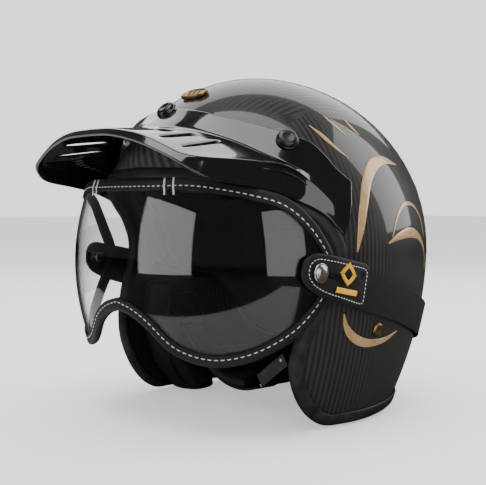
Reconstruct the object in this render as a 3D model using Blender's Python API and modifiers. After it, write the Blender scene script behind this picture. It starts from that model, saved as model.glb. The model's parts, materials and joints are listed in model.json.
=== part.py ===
"""Open face motorcycle helmet with a snap-on peak, a worn bubble goggle and a chin strap.

Metres, +Z up.  The helmet stands on the plane z = 0, its wearer looks along -Y, and +X is the
wearer's left.  Angles round the shell are degrees from straight ahead, towards +X.
"""
import math

import bmesh
import bpy
from mathutils import Matrix, Vector
from mathutils.bvhtree import BVHTree

# ---- driving dimensions -------------------------------------------------------------------
SHELL_TOP = 0.243           # crown of the shell
BELT = 0.119                # height of the shell's widest level
HALF_WIDTH = 0.118          # outer half width at the belt
FRONT = 0.119               # outer reach to the front at the belt
REAR = 0.139                # outer reach to the rear at the belt
TUCK_WIDTH = 0.20           # how far the sides draw in from the belt to the ground, as a fraction
TUCK_FRONT = 0.14
TUCK_REAR = 0.26
CENTRE_Y = 0.0055           # puts the middle of the whole helmet's box over the origin
SHELL_WALL = 0.004
GAP = 0.0004                # clearance between touching pieces
TRIM_CLEAR = 0.0008         # room between the shell's faceted edge and the channel pushed over it

LINER_GAP = 0.0022          # from the shell to the foam, both faceted
LINER_WALL = 0.018
COMFORT_WALL = 0.006
COMFORT_GAP = 0.0042       # the liner hangs clear of the foam, which is faceted
PAD_OUTER = -0.0078         # outer faces of the cheek pads and the neck roll, from the shell's face
CHEEK_WALL = 0.032
NECK_WALL = 0.021
CHEEK_TOP = 0.090
NECK_TOP = 0.033

PEAK_WALL = 0.0022
PEAK_CLEAR = 0.0052         # the peak's outer face stands at least this far off the shell
SNAPS = (("centre", 0.0, 0.2105), ("left", 58.5, 0.1885), ("right", -58.5, 0.1885))
STUD_RADIUS = 0.0028
SNAP_HOLE = 0.0050
CAP_RADIUS = 0.0072
CAP_RISE = 0.0036

LENS_X = 0.121              # half width of the goggle's lens
LENS_Y = 0.075              # its bulge in front of its ends
LENS_CENTRE = -0.0515
LENS_MID = 0.107
LENS_WALL = 0.002
LENS_CROWN = 0.10
TRIM_FREE = 0.0007         # play of the binding's channel on the lens
LENS_INSET = 0.0012         # the lens's edge stops short of the fold in its binding
RIVET_Y = -0.063
RIVET_Z = 0.108
RIVET_HOLE = 0.0026
RIVET_SHANK = 0.0020
TAB_WALL = 0.003

STRAP_WIDTH = 0.025
STRAP_WALL = 0.0016
STRAP_OFF = 0.0022
SLIDER_ANGLE = -137.0
SLIDER_LENGTH = 0.022
SLIDER_TRAVEL = 0.008

ANCHOR_ANGLE = 92.5         # chin strap rivet on the shell
ANCHOR_Z = 0.066
HINGE_Y = -0.008            # the chin strap swings about the line through its two pad slots
HINGE_Z = 0.054
HINGE_X = 0.066
CHIN_SAG = 0.041
ROOT_GAP = 0.0050           # from the swinging strap's end to its hidden root in the pad
CHIN_WIDTH = 0.020
CHIN_WALL = 0.002
BUCKLE_X = 0.040            # where the buckle sits along X
BUCKLE_HALF = 0.016
BUCKLE_REACH = (0.020, 0.056)   # stretch of the strap along X that the buckle keeps straight

# Edge of the shell: angle, height, and the direction in which its column leaves the crown.
SHELL_RIM = (
    (0.0, 0.1690, 0.0), (30.0, 0.1665, 27.0), (50.0, 0.1580, 47.0), (64.0, 0.1446, 61.0),
    (70.0, 0.1340, 68.0), (73.6, 0.1190, 75.0), (72.0, 0.1000, 80.0), (67.7, 0.0856, 84.0),
    (62.4, 0.0620, 88.0), (60.8, 0.0447, 91.0), (63.5, 0.0268, 95.0), (69.0, 0.0128, 99.0),
    (76.0, 0.0052, 103.0), (84.0, 0.0042, 107.0), (96.0, 0.0042, 112.0), (112.0, 0.0052, 121.0),
    (130.0, 0.0062, 135.0), (155.0, 0.0065, 157.0), (180.0, 0.0065, 180.0))
BUCKLE_WIDTH = 0.026       # housing, across the strap
BUCKLE_DEPTH = 0.0095
CHANNEL_WIDTH = 0.022      # inside the housing
TONGUE = (0.030, 0.0150, 0.0018)
TOOTH_PITCH = 0.0024
LEVER = (0.026, 0.0200, 0.0036)
PIN_RADIUS = 0.0012
PIN_HOLE = 0.0016
PAD_REACH = (-0.038, 0.012)  # chin pad along x
PAD_WIDTH = 0.030
PAD_DEPTH = 0.0080
BADGE_Z = 0.2268
BADGE_SIZE = (0.013, 0.025, 0.0022)
BADGE_LIFT = 0.0010        # its flat back over the curved shell
BEND = 5                    # how late a column turns from its crown direction towards the edge
SHELL_COLUMNS = 40
LINER_RIM = (
    (0.0, 0.1745, 0.0), (30.0, 0.1720, 27.0), (50.0, 0.1640, 47.0), (64.0, 0.1515, 61.0),
    (73.0, 0.1380, 70.0), (80.0, 0.1180, 79.0), (84.0, 0.1030, 85.0), (94.0, 0.0960, 94.0),
    (106.0, 0.0920, 106.0), (115.0, 0.0740, 115.0), (124.0, 0.0520, 124.0),
    (142.0, 0.0400, 142.0), (180.0, 0.0370, 180.0))

# Peak, half of it, from the middle to the wing's rear edge.  Each row is a station round the
# peak: its inner edge on the shell, the fold where the brim starts, the fold where the brim turns
# down, and its free edge.
PEAK_STATIONS = (
    ((0.000, -0.080, 0.2145), (0.000, -0.106, 0.2020), (0.000, -0.146, 0.1990), (0.000, -0.150, 0.1955)),
    ((0.018, -0.080, 0.2140), (0.021, -0.1015, 0.201), (0.024, -0.146, 0.1982), (0.025, -0.150, 0.1946)),
    ((0.034, -0.079, 0.2123), (0.041, -0.0925, 0.1985), (0.048, -0.1435, 0.194), (0.049, -0.1475, 0.1895)),
    ((0.049, -0.076, 0.2080), (0.058, -0.0845, 0.1935), (0.068, -0.140, 0.1865), (0.070, -0.1435, 0.182)),
    ((0.060, -0.0705, 0.2055), (0.069, -0.0785, 0.1892), (0.080, -0.1365, 0.181), (0.083, -0.139, 0.1755)),
    ((0.068, -0.065, 0.2030), (0.076, -0.0745, 0.1858), (0.088, -0.126, 0.1785), (0.0905, -0.127, 0.1670)),
    ((0.077, -0.0585, 0.200), (0.083, -0.070, 0.1822), (0.092, -0.104, 0.1778), (0.0935, -0.104, 0.1630)),
    ((0.085, -0.052, 0.1970), (0.090, -0.064, 0.1785), (0.096, -0.084, 0.1765), (0.097, -0.084, 0.1595)),
    ((0.091, -0.0455, 0.1937), (0.097, -0.057, 0.1745), (0.1005, -0.067, 0.1735), (0.1015, -0.068, 0.155)),
    ((0.096, -0.039, 0.190), (0.1025, -0.050, 0.170), (0.1045, -0.0535, 0.1665), (0.106, -0.0535, 0.149)),
    ((0.103, -0.034, 0.182), (0.1085, -0.042, 0.163), (0.1105, -0.044, 0.157), (0.112, -0.0435, 0.1425)),
    ((0.1085, -0.0295, 0.1736), (0.1125, -0.036, 0.156), (0.1145, -0.0375, 0.149), (0.1162, -0.0375, 0.1355)),
    ((0.114, -0.0207, 0.165), (0.1165, -0.0235, 0.150), (0.1178, -0.0275, 0.139), (0.1183, -0.0323, 0.130)))

# Goggle outline, half of it: angle round the lens and height, over the top and back underneath.
LENS_TOP = ((0, 0.165), (15, 0.165), (32, 0.1650), (46, 0.162), (59, 0.158), (71, 0.1525),
            (80, 0.1425), (87, 0.1305), (92, 0.119), (94, 0.108))
LENS_BOTTOM = ((0, 0.082), (6.5, 0.0785), (13.4, 0.071), (22, 0.058), (31, 0.0515), (42, 0.0492),
               (54, 0.0525), (65, 0.0596), (77, 0.0715), (87, 0.0875), (92, 0.0990), (94, 0.108))

# Goggle strap: angle and height of its middle line on the shell, for one side.
STRAP_LINE = ((82.0, 0.0937), (97.5, 0.0845), (121.0, 0.0690), (150.0, 0.0560), (180.0, 0.0510))

HEAD = Vector((0, CENTRE_Y, BELT))      # middle of the head


# ---- scene helpers ------------------------------------------------------------------------
def clear_scene():
    for obj in list(bpy.data.objects):
        bpy.data.objects.remove(obj, do_unlink=True)


def make_collection(name, hidden=False):
    collection = bpy.data.collections.new(name)
    bpy.context.scene.collection.children.link(collection)
    collection.hide_render = hidden
    return collection


def make_material(name, colour, roughness, metallic=0.0, alpha=1.0):
    material = bpy.data.materials.new(name)
    material.use_nodes = True
    shader = material.node_tree.nodes["Principled BSDF"]
    shader.inputs["Base Color"].default_value = (*colour, 1.0)
    shader.inputs["Roughness"].default_value = roughness
    shader.inputs["Metallic"].default_value = metallic
    shader.inputs["Alpha"].default_value = alpha
    return material


def add_object(name, mesh_maker, material, collection, inside=None):
    """Make a mesh object from a bmesh, facing out, or away from inside if its surface is open."""
    mesh = bpy.data.meshes.new(name)
    bmesh.ops.recalc_face_normals(mesh_maker, faces=mesh_maker.faces)
    mesh_maker.normal_update()
    if inside is not None:
        facing = sum(f.normal.dot(f.calc_center_median() - inside) * f.calc_area()
                     for f in mesh_maker.faces)
        if facing < 0:
            bmesh.ops.reverse_faces(mesh_maker, faces=mesh_maker.faces)
    mesh_maker.to_mesh(mesh)
    mesh_maker.free()
    obj = bpy.data.objects.new(name, mesh)
    collection.objects.link(obj)
    if material is not None:
        mesh.materials.append(material)
    return obj


def mirror_across_x(obj):
    mirror = obj.modifiers.new("Mirror", "MIRROR")
    mirror.use_axis = (True, False, False)
    mirror.use_clip = True
    mirror.merge_threshold = 0.00005


def thicken(obj, wall):
    solid = obj.modifiers.new("Solidify", "SOLIDIFY")
    solid.thickness = wall
    solid.offset = -1.0
    solid.use_even_offset = True


def cut(obj, cutter):
    cutter.display_type = "WIRE"
    cutter.hide_render = True
    boolean = obj.modifiers.new("Cut " + cutter.name, "BOOLEAN")
    boolean.operation = "DIFFERENCE"
    boolean.solver = "EXACT"
    boolean.object = cutter


def round_edges(obj, width, segments=2):
    bevel = obj.modifiers.new("Bevel", "BEVEL")
    bevel.width = width
    bevel.segments = segments
    bevel.limit_method = "ANGLE"
    bevel.angle_limit = math.radians(50)


def place(obj, origin, x_axis, y_axis, z_axis):
    rotation = Matrix((x_axis, y_axis, z_axis)).transposed().to_4x4()
    obj.matrix_world = Matrix.Translation(origin) @ rotation


# ---- curves through a few chosen points ----------------------------------------------------
def along(points, t):
    """Point at t (0 to 1) on a smooth curve through the points, evenly by their number."""
    last = len(points) - 1
    position = min(max(t, 0.0), 1.0) * last
    index = min(int(position), last - 1)
    f = position - index
    p1 = Vector(points[index])
    p2 = Vector(points[index + 1])
    p0 = Vector(points[index - 1]) if index > 0 else p1 * 2 - p2
    p3 = Vector(points[index + 2]) if index + 2 <= last else p2 * 2 - p1
    return 0.5 * ((2 * p1) + (p2 - p0) * f + (2 * p0 - 5 * p1 + 4 * p2 - p3) * f ** 2
                  + (3 * p1 - p0 - 3 * p2 + p3) * f ** 3)


def height_at(outline, angle):
    """Height of an outline of (angle, height) points at an angle."""
    for (a0, z0), (a1, z1) in zip(outline, outline[1:]):
        if angle <= a1:
            return z0 + (z1 - z0) * (angle - a0) / (a1 - a0)
    return outline[-1][1]


def even_lengths(points, count):
    """The same path with points at even distances along it."""
    lengths = [0.0]
    for a, b in zip(points, points[1:]):
        lengths.append(lengths[-1] + (b - a).length)
    result = []
    index = 0
    for step in range(count + 1):
        wanted = lengths[-1] * step / count
        while index < len(points) - 2 and lengths[index + 1] < wanted:
            index += 1
        span = lengths[index + 1] - lengths[index]
        result.append(points[index].lerp(points[index + 1], (wanted - lengths[index]) / span))
    return result


# ---- the shell's surface -------------------------------------------------------------------
def level_of(z):
    """0 at the crown, 1 at the belt, 2 at the ground."""
    if z >= BELT:
        return math.acos(min(1.0, (z - BELT) / (SHELL_TOP - BELT))) * 2 / math.pi
    return 1 + (BELT - z) / BELT


def on_shell(angle, level, off=0.0):
    """Point on the shell's outer face moved out by off."""
    a = math.radians(angle)
    behind = math.cos(a) < 0
    reach = REAR if behind else FRONT
    if level <= 1:
        t = level * math.pi / 2
        z = BELT + (SHELL_TOP - BELT + off) * math.cos(t)
        half = (HALF_WIDTH + off) * math.sin(t)
        reach = (reach + off) * math.sin(t)
    else:
        q = level - 1
        z = BELT * (1 - q)
        half = HALF_WIDTH * (1 - TUCK_WIDTH * q * q) + off
        reach = reach * (1 - (TUCK_REAR if behind else TUCK_FRONT) * q * q) + off
    return Vector((half * math.sin(a), CENTRE_Y - reach * math.cos(a), z))


def shell_normal(angle, level):
    """Outward direction of the shell's face."""
    step = 0.01
    side = on_shell(angle + 1, level) - on_shell(angle - 1, level)
    down = on_shell(angle, level + step) - on_shell(angle, level - step)
    normal = down.cross(side).normalized()
    out = on_shell(angle, level, 0.01) - on_shell(angle, level)
    return normal if normal.dot(out) > 0 else -normal


def push_clear(point, clear):
    """Move a point straight out from the middle of the dome until it clears the shell."""
    local = Vector((point.x, point.y - CENTRE_Y, point.z - BELT))
    reach = REAR if local.y > 0 else FRONT
    size = math.sqrt((local.x / (HALF_WIDTH + clear)) ** 2 + (local.y / (reach + clear)) ** 2
                     + (local.z / (SHELL_TOP - BELT + clear)) ** 2)
    if size >= 1:
        return point
    return HEAD + local / size


# ---- solids that only lofting makes --------------------------------------------------------
def rim_columns(rim, count):
    """Angle, height and crown direction at even distances along half of a rim."""
    fine = [along(rim, i / 600) for i in range(601)]
    lengths = [0.0]
    for a, b in zip(fine, fine[1:]):
        step = on_shell(b[0], level_of(b[1])) - on_shell(a[0], level_of(a[1]))
        lengths.append(lengths[-1] + step.length)
    columns = []
    index = 0
    for i in range(count + 1):
        while index < 600 and lengths[index] < lengths[-1] * i / count - 1e-9:
            index += 1
        columns.append(fine[index])
    return columns


def dome_half(rim, columns, rows, off):
    """Open half dome from the crown down to a rim given as (angle, height, crown direction)."""
    maker = bmesh.new()
    crown = maker.verts.new(on_shell(0, 0, off))
    grid = []
    for i, (angle, z, start) in enumerate(rim_columns(rim, columns)):
        rim_level = level_of(z)
        column = []
        for j in range(1, rows + 1):
            v = j / rows
            point = on_shell(start + (angle - start) * v ** BEND, rim_level * v, off)
            if i in (0, columns):
                point.x = 0.0
            column.append(maker.verts.new(point))
        grid.append(column)
    for left, right in zip(grid, grid[1:]):
        maker.faces.new((crown, left[0], right[0]))
        for j in range(rows - 1):
            maker.faces.new((left[j], left[j + 1], right[j + 1], right[j]))
    return maker


def block(point, counts):
    """Closed solid: the unit cube's faces, in counts steps each way, mapped by point(u, v, w)."""
    maker = bmesh.new()
    cache = {}

    def vertex(i, j, k):
        key = (i, j, k)
        if key not in cache:
            cache[key] = maker.verts.new(point(i / counts[0], j / counts[1], k / counts[2]))
        return cache[key]

    n_u, n_v, n_w = counts
    for i in range(n_u):
        for j in range(n_v):
            for k in (0, n_w):
                maker.faces.new((vertex(i, j, k), vertex(i + 1, j, k),
                                 vertex(i + 1, j + 1, k), vertex(i, j + 1, k)))
    for i in range(n_u):
        for k in range(n_w):
            for j in (0, n_v):
                maker.faces.new((vertex(i, j, k), vertex(i + 1, j, k),
                                 vertex(i + 1, j, k + 1), vertex(i, j, k + 1)))
    for j in range(n_v):
        for k in range(n_w):
            for i in (0, n_u):
                maker.faces.new((vertex(i, j, k), vertex(i, j + 1, k),
                                 vertex(i, j + 1, k + 1), vertex(i, j, k + 1)))
    return maker


def sweep(frames, section, capped):
    """Solid with one section carried along frames of (origin, first axis, second axis)."""
    maker = bmesh.new()
    rings = []
    for origin, first, second in frames:
        rings.append([maker.verts.new(origin + first * a + second * b) for a, b in section])
    count = len(section)
    for low, high in zip(rings, rings[1:]):
        for k in range(count):
            maker.faces.new((low[k], low[(k + 1) % count], high[(k + 1) % count], high[k]))
    if capped:
        maker.faces.new(rings[0])
        maker.faces.new(rings[-1])
    return maker


def turned(name, profile, material, collection, segments=20):
    """Solid of revolution about Z from a profile of (radius, height) that starts and ends on it."""
    maker = bmesh.new()
    ring = [maker.verts.new((radius, 0, z)) for radius, z in profile]
    for a, b in zip(ring, ring[1:]):
        maker.edges.new((a, b))
    mesh = bpy.data.meshes.new(name)
    maker.to_mesh(mesh)
    maker.free()
    mesh.materials.append(material)
    obj = bpy.data.objects.new(name, mesh)
    collection.objects.link(obj)
    screw = obj.modifiers.new("Screw", "SCREW")
    screw.axis = "Z"
    screw.steps = segments
    screw.render_steps = segments
    screw.use_merge_vertices = True
    screw.merge_threshold = 0.00002
    screw.use_normal_calculate = True
    return obj


def cylinder_cutter(name, radius, depth, origin, direction, cutters, segments=12):
    maker = bmesh.new()
    bmesh.ops.create_cone(maker, cap_ends=True, segments=segments, radius1=radius,
                          radius2=radius, depth=depth)
    cutter = add_object(name, maker, None, cutters)
    cutter.matrix_world = (Matrix.Translation(origin)
                           @ direction.to_track_quat("Z", "Y").to_matrix().to_4x4())
    return cutter


# ---- shell and linings ---------------------------------------------------------------------
def build_shell(parts, cutters, material):
    shell = add_object("outer_shell", dome_half(SHELL_RIM, SHELL_COLUMNS, 10, 0.0), material, parts, HEAD)
    mirror_across_x(shell)
    thicken(shell, SHELL_WALL)
    for side in (1, -1):
        level = level_of(ANCHOR_Z)
        origin = on_shell(side * ANCHOR_ANGLE, level)
        direction = shell_normal(side * ANCHOR_ANGLE, level)
        cut(shell, cylinder_cutter("anchor_hole_%d" % side, RIVET_HOLE, 0.03, origin, direction,
                                   cutters))


def build_linings(parts, foam, fabric):
    outer = -SHELL_WALL - LINER_GAP
    liner = add_object("eps_liner", dome_half(LINER_RIM, 24, 7, outer), foam, parts, HEAD)
    mirror_across_x(liner)
    thicken(liner, LINER_WALL)
    inner = -SHELL_WALL - LINER_WALL - COMFORT_GAP - 0.0010
    comfort = add_object("comfort_liner", dome_half(LINER_RIM, 20, 6, inner), fabric, parts, HEAD)
    mirror_across_x(comfort)
    thicken(comfort, COMFORT_WALL)


def rim_angle(z):
    """Angle of the cheek's front edge at a height."""
    cheek = [(height, angle) for angle, height, _ in SHELL_RIM[5:14]]
    cheek.sort()
    for (z0, a0), (z1, a1) in zip(cheek, cheek[1:]):
        if z <= z1:
            return a0 + (a1 - a0) * max(0.0, z - z0) / (z1 - z0)
    return cheek[-1][1]


def build_cheek_pad(name, side, parts, cutters, material):
    margin = 4.2
    rear = 103.0

    def point(u, v, w):
        z = CHEEK_TOP * v
        front = rim_angle(max(z, 0.006)) + margin
        rounding = 5.0 * (2 * w - 1) ** 2 * (0.5 if w < 0.5 else 1.0)
        angle = (front + rounding) + (rear - front - 2 * rounding) * u
        depth = CHEEK_WALL * (0.86 + 0.14 * math.sin(math.pi * min(1.0, 0.15 + v)))
        position = on_shell(angle, level_of(z), PAD_OUTER - depth * w)
        position.x *= side
        return position

    pad = add_object(name, block(point, (8, 7, 2)), material, parts)
    maker = bmesh.new()
    bmesh.ops.create_cube(maker, size=1.0)
    slot = add_object(name + "_slot", maker, None, cutters)
    start, direction = strap_root_line(side)
    slot.matrix_world = (Matrix.Translation(start + direction * 0.018)
                         @ direction.to_track_quat("X", "Z").to_matrix().to_4x4()
                         @ Matrix.Diagonal((0.090, CHIN_WIDTH + 0.004, 0.0052, 1.0)))
    cut(pad, slot)


def build_neck_roll(parts, material):
    def point(u, v, w):
        z = NECK_TOP * v
        rounding = 3.0 * (2 * w - 1) ** 2
        angle = 107.0 + rounding + (180.0 - 107.0 - rounding) * u
        position = on_shell(angle, level_of(z), PAD_OUTER - NECK_WALL * w)
        if u == 1.0:
            position.x = 0.0
        return position

    maker = block(point, (14, 2, 2))
    middle = [face for face in maker.faces if all(abs(v.co.x) < 1e-9 for v in face.verts)]
    bmesh.ops.delete(maker, geom=middle, context="FACES")
    mirror_across_x(add_object("neck_roll", maker, material, parts))


def build_edge_trim(parts, material):
    """Rubber channel pushed over the shell's edge."""
    wall = SHELL_WALL
    free = TRIM_CLEAR
    section = ((-0.0060, free), (-0.0058, 0.0019), (0.0018, 0.0018), (0.0030, -wall / 2),
               (0.0018, -wall - 0.0017), (-0.0026, -wall - 0.0017), (-0.0026, -wall - free),
               (free, -wall - free), (free, free))
    columns = rim_columns(SHELL_RIM, SHELL_COLUMNS)
    points = [on_shell(angle, level_of(z)) for angle, z, _ in columns]
    frames = []
    for i, (angle, z, _) in enumerate(columns):
        normal = shell_normal(angle, level_of(z))
        if i in (0, SHELL_COLUMNS):
            tangent = Vector((1 if i == 0 else -1, 0, 0))
            normal.x = 0.0
        else:
            tangent = points[i + 1] - points[i - 1]
        outward = tangent.cross(normal).normalized()
        origin = points[i].copy()
        if i in (0, SHELL_COLUMNS):
            origin.x = 0.0
        frames.append((origin, outward, normal.normalized()))
    mirror_across_x(add_object("edge_trim", sweep(frames, section, False), material, parts))


# ---- peak and its snaps --------------------------------------------------------------------
def peak_station(t):
    """Points from the inner edge to the free edge of the peak at a place round it."""
    corners = []
    for k in range(4):
        point = along([station[k] for station in PEAK_STATIONS], t)
        point.y += CENTRE_Y
        corners.append(point)
    inner, brim, fold, edge = corners
    steps = ((inner, brim, 3), (brim, fold, 3), (fold, edge, 2))
    points = []
    for start, end, count in steps:
        points += [start.lerp(end, k / count) for k in range(count)]
    points.append(edge)
    return [push_clear(point, PEAK_CLEAR) for point in points]


def build_peak(parts, cutters, material):
    maker = bmesh.new()
    columns = 22
    grid = []
    for i in range(columns + 1):
        points = peak_station(i / columns)
        if i == 0:
            for point in points:
                point.x = 0.0
        grid.append([maker.verts.new(point) for point in points])
    for left, right in zip(grid, grid[1:]):
        for j in range(len(left) - 1):
            maker.faces.new((left[j], right[j], right[j + 1], left[j + 1]))
    surface = BVHTree.FromBMesh(maker)
    peak = add_object("peak", maker, material, parts, HEAD)
    mirror_across_x(peak)
    thicken(peak, PEAK_WALL)
    for word, angle, z in SNAPS:
        origin = on_shell(angle, level_of(z))
        direction = shell_normal(angle, level_of(z))
        cut(peak, cylinder_cutter("snap_hole_" + word, SNAP_HOLE, 0.03,
                                  origin + direction * 0.008, direction, cutters))
    return surface


def build_snaps(parts, surface, steel, black):
    """A stud on the shell and a cap on the peak at each snap."""
    for word, angle, z in SNAPS:
        origin = on_shell(angle, level_of(z))
        normal = shell_normal(angle, level_of(z))
        half_origin = Vector((abs(origin.x), origin.y, origin.z))
        half_normal = Vector((abs(normal.x), normal.y, normal.z))
        reach = surface.ray_cast(half_origin, half_normal)[3]
        top = reach - PEAK_WALL + 0.0014
        profile = ((0, GAP), (0.0055, GAP), (0.0055, 0.0014), (STUD_RADIUS, 0.0018),
                   (STUD_RADIUS, top - 0.0006), (STUD_RADIUS - 0.0006, top), (0, top))
        stud = turned("snap_stud_" + word, profile, steel, parts, 12)
        low = reach + 0.0009
        profile = ((0, low), (CAP_RADIUS, low), (CAP_RADIUS, low + 0.0010),
                   (CAP_RADIUS * 0.86, low + CAP_RISE * 0.68),
                   (CAP_RADIUS * 0.5, low + CAP_RISE * 0.94), (0, low + CAP_RISE))
        cap = turned("snap_cap_" + word, profile, black, parts, 16)
        turn = normal.to_track_quat("Z", "Y").to_matrix().to_4x4()
        stud.matrix_world = Matrix.Translation(origin) @ turn
        cap.matrix_world = Matrix.Translation(origin) @ turn


def build_badge(parts, material):
    normal = shell_normal(0.0, level_of(BADGE_Z))
    maker = bmesh.new()
    bmesh.ops.create_cone(maker, cap_ends=True, segments=28, radius1=0.5, radius2=0.44, depth=1.0)
    badge = add_object("forehead_badge", maker, material, parts)
    origin = on_shell(0.0, level_of(BADGE_Z)) + normal * (BADGE_SIZE[2] / 2 + BADGE_LIFT)
    badge.matrix_world = (Matrix.Translation(origin) @ normal.to_track_quat("Z", "X").to_matrix().to_4x4()
                          @ Matrix.Diagonal((*BADGE_SIZE, 1.0)))


# ---- goggle --------------------------------------------------------------------------------
def on_lens(angle, z, off=0.0):
    """Point on the lens's outer face moved out by off."""
    a = math.radians(angle)
    crown = 1 - LENS_CROWN * ((z - LENS_MID) / 0.054) ** 2
    return Vector(((LENS_X * crown + off) * math.sin(a),
                   CENTRE_Y + LENS_CENTRE - (LENS_Y * crown + off) * math.cos(a), z))


def lens_normal(angle, z):
    side = on_lens(angle + 1, z) - on_lens(angle - 1, z)
    up = on_lens(angle, z + 0.001) - on_lens(angle, z - 0.001)
    return side.cross(up).normalized()


def lens_outline(count):
    """Angle and height round half of the lens's edge, from the top middle to the bottom middle."""
    path = [Vector((along(LENS_TOP, i / 60)[:]) + (0,)) for i in range(61)]
    path += [Vector((along(LENS_BOTTOM, 1 - i / 60)[:]) + (0,)) for i in range(1, 61)]
    scaled = [Vector((p.x * 0.0019, p.y, 0)) for p in path]
    return [(p.x / 0.0019, p.y) for p in even_lengths(scaled, count)]


def rivet_places():
    spot = on_lens(math.degrees(math.acos((LENS_CENTRE - RIVET_Y) / LENS_Y)), RIVET_Z)
    return [(side, Vector((side * spot.x, spot.y, spot.z))) for side in (1, -1)]


def build_lens(parts, cutters, material):
    maker = bmesh.new()
    columns = 20
    rows = 6
    grid = []
    for i in range(columns + 1):
        angle = 92.6 * (i / columns)
        low = height_at(LENS_BOTTOM, angle) + LENS_INSET
        high = height_at(LENS_TOP, angle) - LENS_INSET
        column = []
        for j in range(rows + 1):
            z = low + (high - low) * j / rows
            column.append(maker.verts.new(on_lens(angle, z)))
        grid.append(column)
    for left, right in zip(grid, grid[1:]):
        for j in range(rows):
            maker.faces.new((left[j], right[j], right[j + 1], left[j + 1]))
    lens = add_object("goggle_lens", maker, material, parts, HEAD)
    mirror_across_x(lens)
    thicken(lens, LENS_WALL)
    for side, spot in rivet_places():
        cut(lens, cylinder_cutter("lens_hole_%d" % side, RIVET_HOLE, 0.03, spot,
                                  Vector((side, 0, 0)), cutters))


def build_lens_trim(parts, material):
    """Leather binding folded over the lens's edge."""
    inner = -LENS_WALL
    free = TRIM_FREE
    section = ((-0.0062, free), (-0.0058, 0.0017), (0.0014, 0.0016), (0.0022, inner / 2),
               (0.0014, inner - 0.0015), (-0.0058, inner - 0.0015), (-0.0062, inner - free),
               (0.0004, inner - free), (0.0004, free))
    count = 44
    outline = lens_outline(count)
    points = [on_lens(angle, z) for angle, z in outline]
    frames = []
    for i, (angle, z) in enumerate(outline):
        ahead = points[min(i + 1, count)]
        behind = points[max(i - 1, 0)]
        tangent = (ahead - behind).normalized()
        if i in (0, count):
            tangent = Vector((1 if i == 0 else -1, 0, 0))
        normal = lens_normal(angle, z)
        outward = tangent.cross(normal).normalized()
        middle = on_lens(45.0, LENS_MID) if angle > 20 else on_lens(angle, LENS_MID)
        if outward.dot(points[i] - middle) < 0:
            outward = -outward
        origin = points[i].copy()
        if i in (0, count):
            origin.x = outward.x = normal.x = 0.0
        frames.append((origin, outward, normal))
    mirror_across_x(add_object("goggle_trim", sweep(frames, section, False), material, parts))


TAB_OUTLINE = ((-0.0125, -0.0030), (-0.0105, 0.0085), (-0.0020, 0.0128), (0.0140, 0.0100),
               (0.0440, 0.0040), (0.0485, 0.0000), (0.0425, -0.0235), (0.0370, -0.0255),
               (0.0060, -0.0165), (-0.0060, -0.0110))
# How far out the tab's inner face stands, by its place along Y.
TAB_REACH = ((-0.080, 0.1180), (-0.0695, 0.1214), (-0.0570, 0.1225), (-0.0540, 0.1240),
             (-0.045, 0.1243), (-0.030, 0.1234), (-0.013, 0.1216),
             (-0.005, 0.1208))


def build_tab(name, side, spot, parts, cutters, material):
    """Leather strap tab: its outline lies flat, then its faces follow the lens and the shell."""
    maker = bmesh.new()
    columns = 12
    path = [Vector((y, z, 0)) for y, z in TAB_OUTLINE]
    ys = [p.x for p in path]
    rows = []
    for i in range(columns + 1):
        y = min(ys) + (max(ys) - min(ys)) * i / columns
        y = min(max(y, min(ys) + 0.0004), max(ys) - 0.0004)
        crossings = []
        for a, b in zip(path, path[1:] + path[:1]):
            if (a.x - y) * (b.x - y) < 0:
                crossings.append(a.y + (b.y - a.y) * (y - a.x) / (b.x - a.x))
        rows.append((y, min(crossings), max(crossings)))
    grids = []
    for layer in (0, TAB_WALL):
        grid = []
        for y, low, high in rows:
            line = []
            for k in range(3):
                z = low + (high - low) * k / 2
                x = height_at(TAB_REACH, y + spot.y - CENTRE_Y) + layer
                line.append(maker.verts.new((side * x, spot.y + y, spot.z + z)))
            grid.append(line)
        grids.append(grid)
    inner, outer = grids
    for i in range(columns):
        for k in range(2):
            maker.faces.new((inner[i][k], inner[i + 1][k], inner[i + 1][k + 1], inner[i][k + 1]))
            maker.faces.new((outer[i][k], outer[i + 1][k], outer[i + 1][k + 1], outer[i][k + 1]))
        for k in (0, 2):
            maker.faces.new((inner[i][k], inner[i + 1][k], outer[i + 1][k], outer[i][k]))
    for k in range(2):
        for i in (0, columns):
            maker.faces.new((inner[i][k], inner[i][k + 1], outer[i][k + 1], outer[i][k]))
    tab = add_object(name, maker, material, parts)
    tab.data.transform(Matrix.Translation(-spot))
    tab.location = spot
    cut(tab, cylinder_cutter(name + "_hole", RIVET_HOLE, 0.03, spot, Vector((side, 0, 0)), cutters))


def build_rivet(name, side, spot, parts, material):
    """Press stud: a domed cap outside the tab, its shank through tab and lens, and its foot."""
    face = height_at(TAB_REACH, RIVET_Y) + TAB_WALL + 0.0012 - spot.x * side
    inside = -LENS_WALL - 0.0019
    profile = ((0, inside - 0.0012), (0.0042, inside - 0.0012), (0.0042, inside),
               (RIVET_SHANK, inside), (RIVET_SHANK, face), (0.0058, face), (0.0058, face + 0.0006),
               (0.0046, face + 0.0019), (0.0024, face + 0.0025), (0, face + 0.0026))
    rivet = turned(name, profile, material, parts, 16)
    turn = Vector((side, 0, 0)).to_track_quat("Z", "Y").to_matrix().to_4x4()
    rivet.matrix_world = Matrix.Translation(spot) @ turn


def strap_path(count):
    """Middle line of the goggle strap from the right tab round the back to the left tab."""
    half = [along(STRAP_LINE, i / 40) for i in range(41)]
    places = [(-p[0], p[1]) for p in half] + [(p[0], p[1]) for p in reversed(half[:-1])]
    points = [on_shell(angle, level_of(z), STRAP_OFF) for angle, z in places]
    normals = [shell_normal(angle, level_of(z)) for angle, z in places]
    frames = []
    spaced = even_lengths(points, count)
    for point in spaced:
        nearest = min(range(len(points)), key=lambda k: (points[k] - point).length)
        frames.append((point, normals[nearest]))
    return frames


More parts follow.
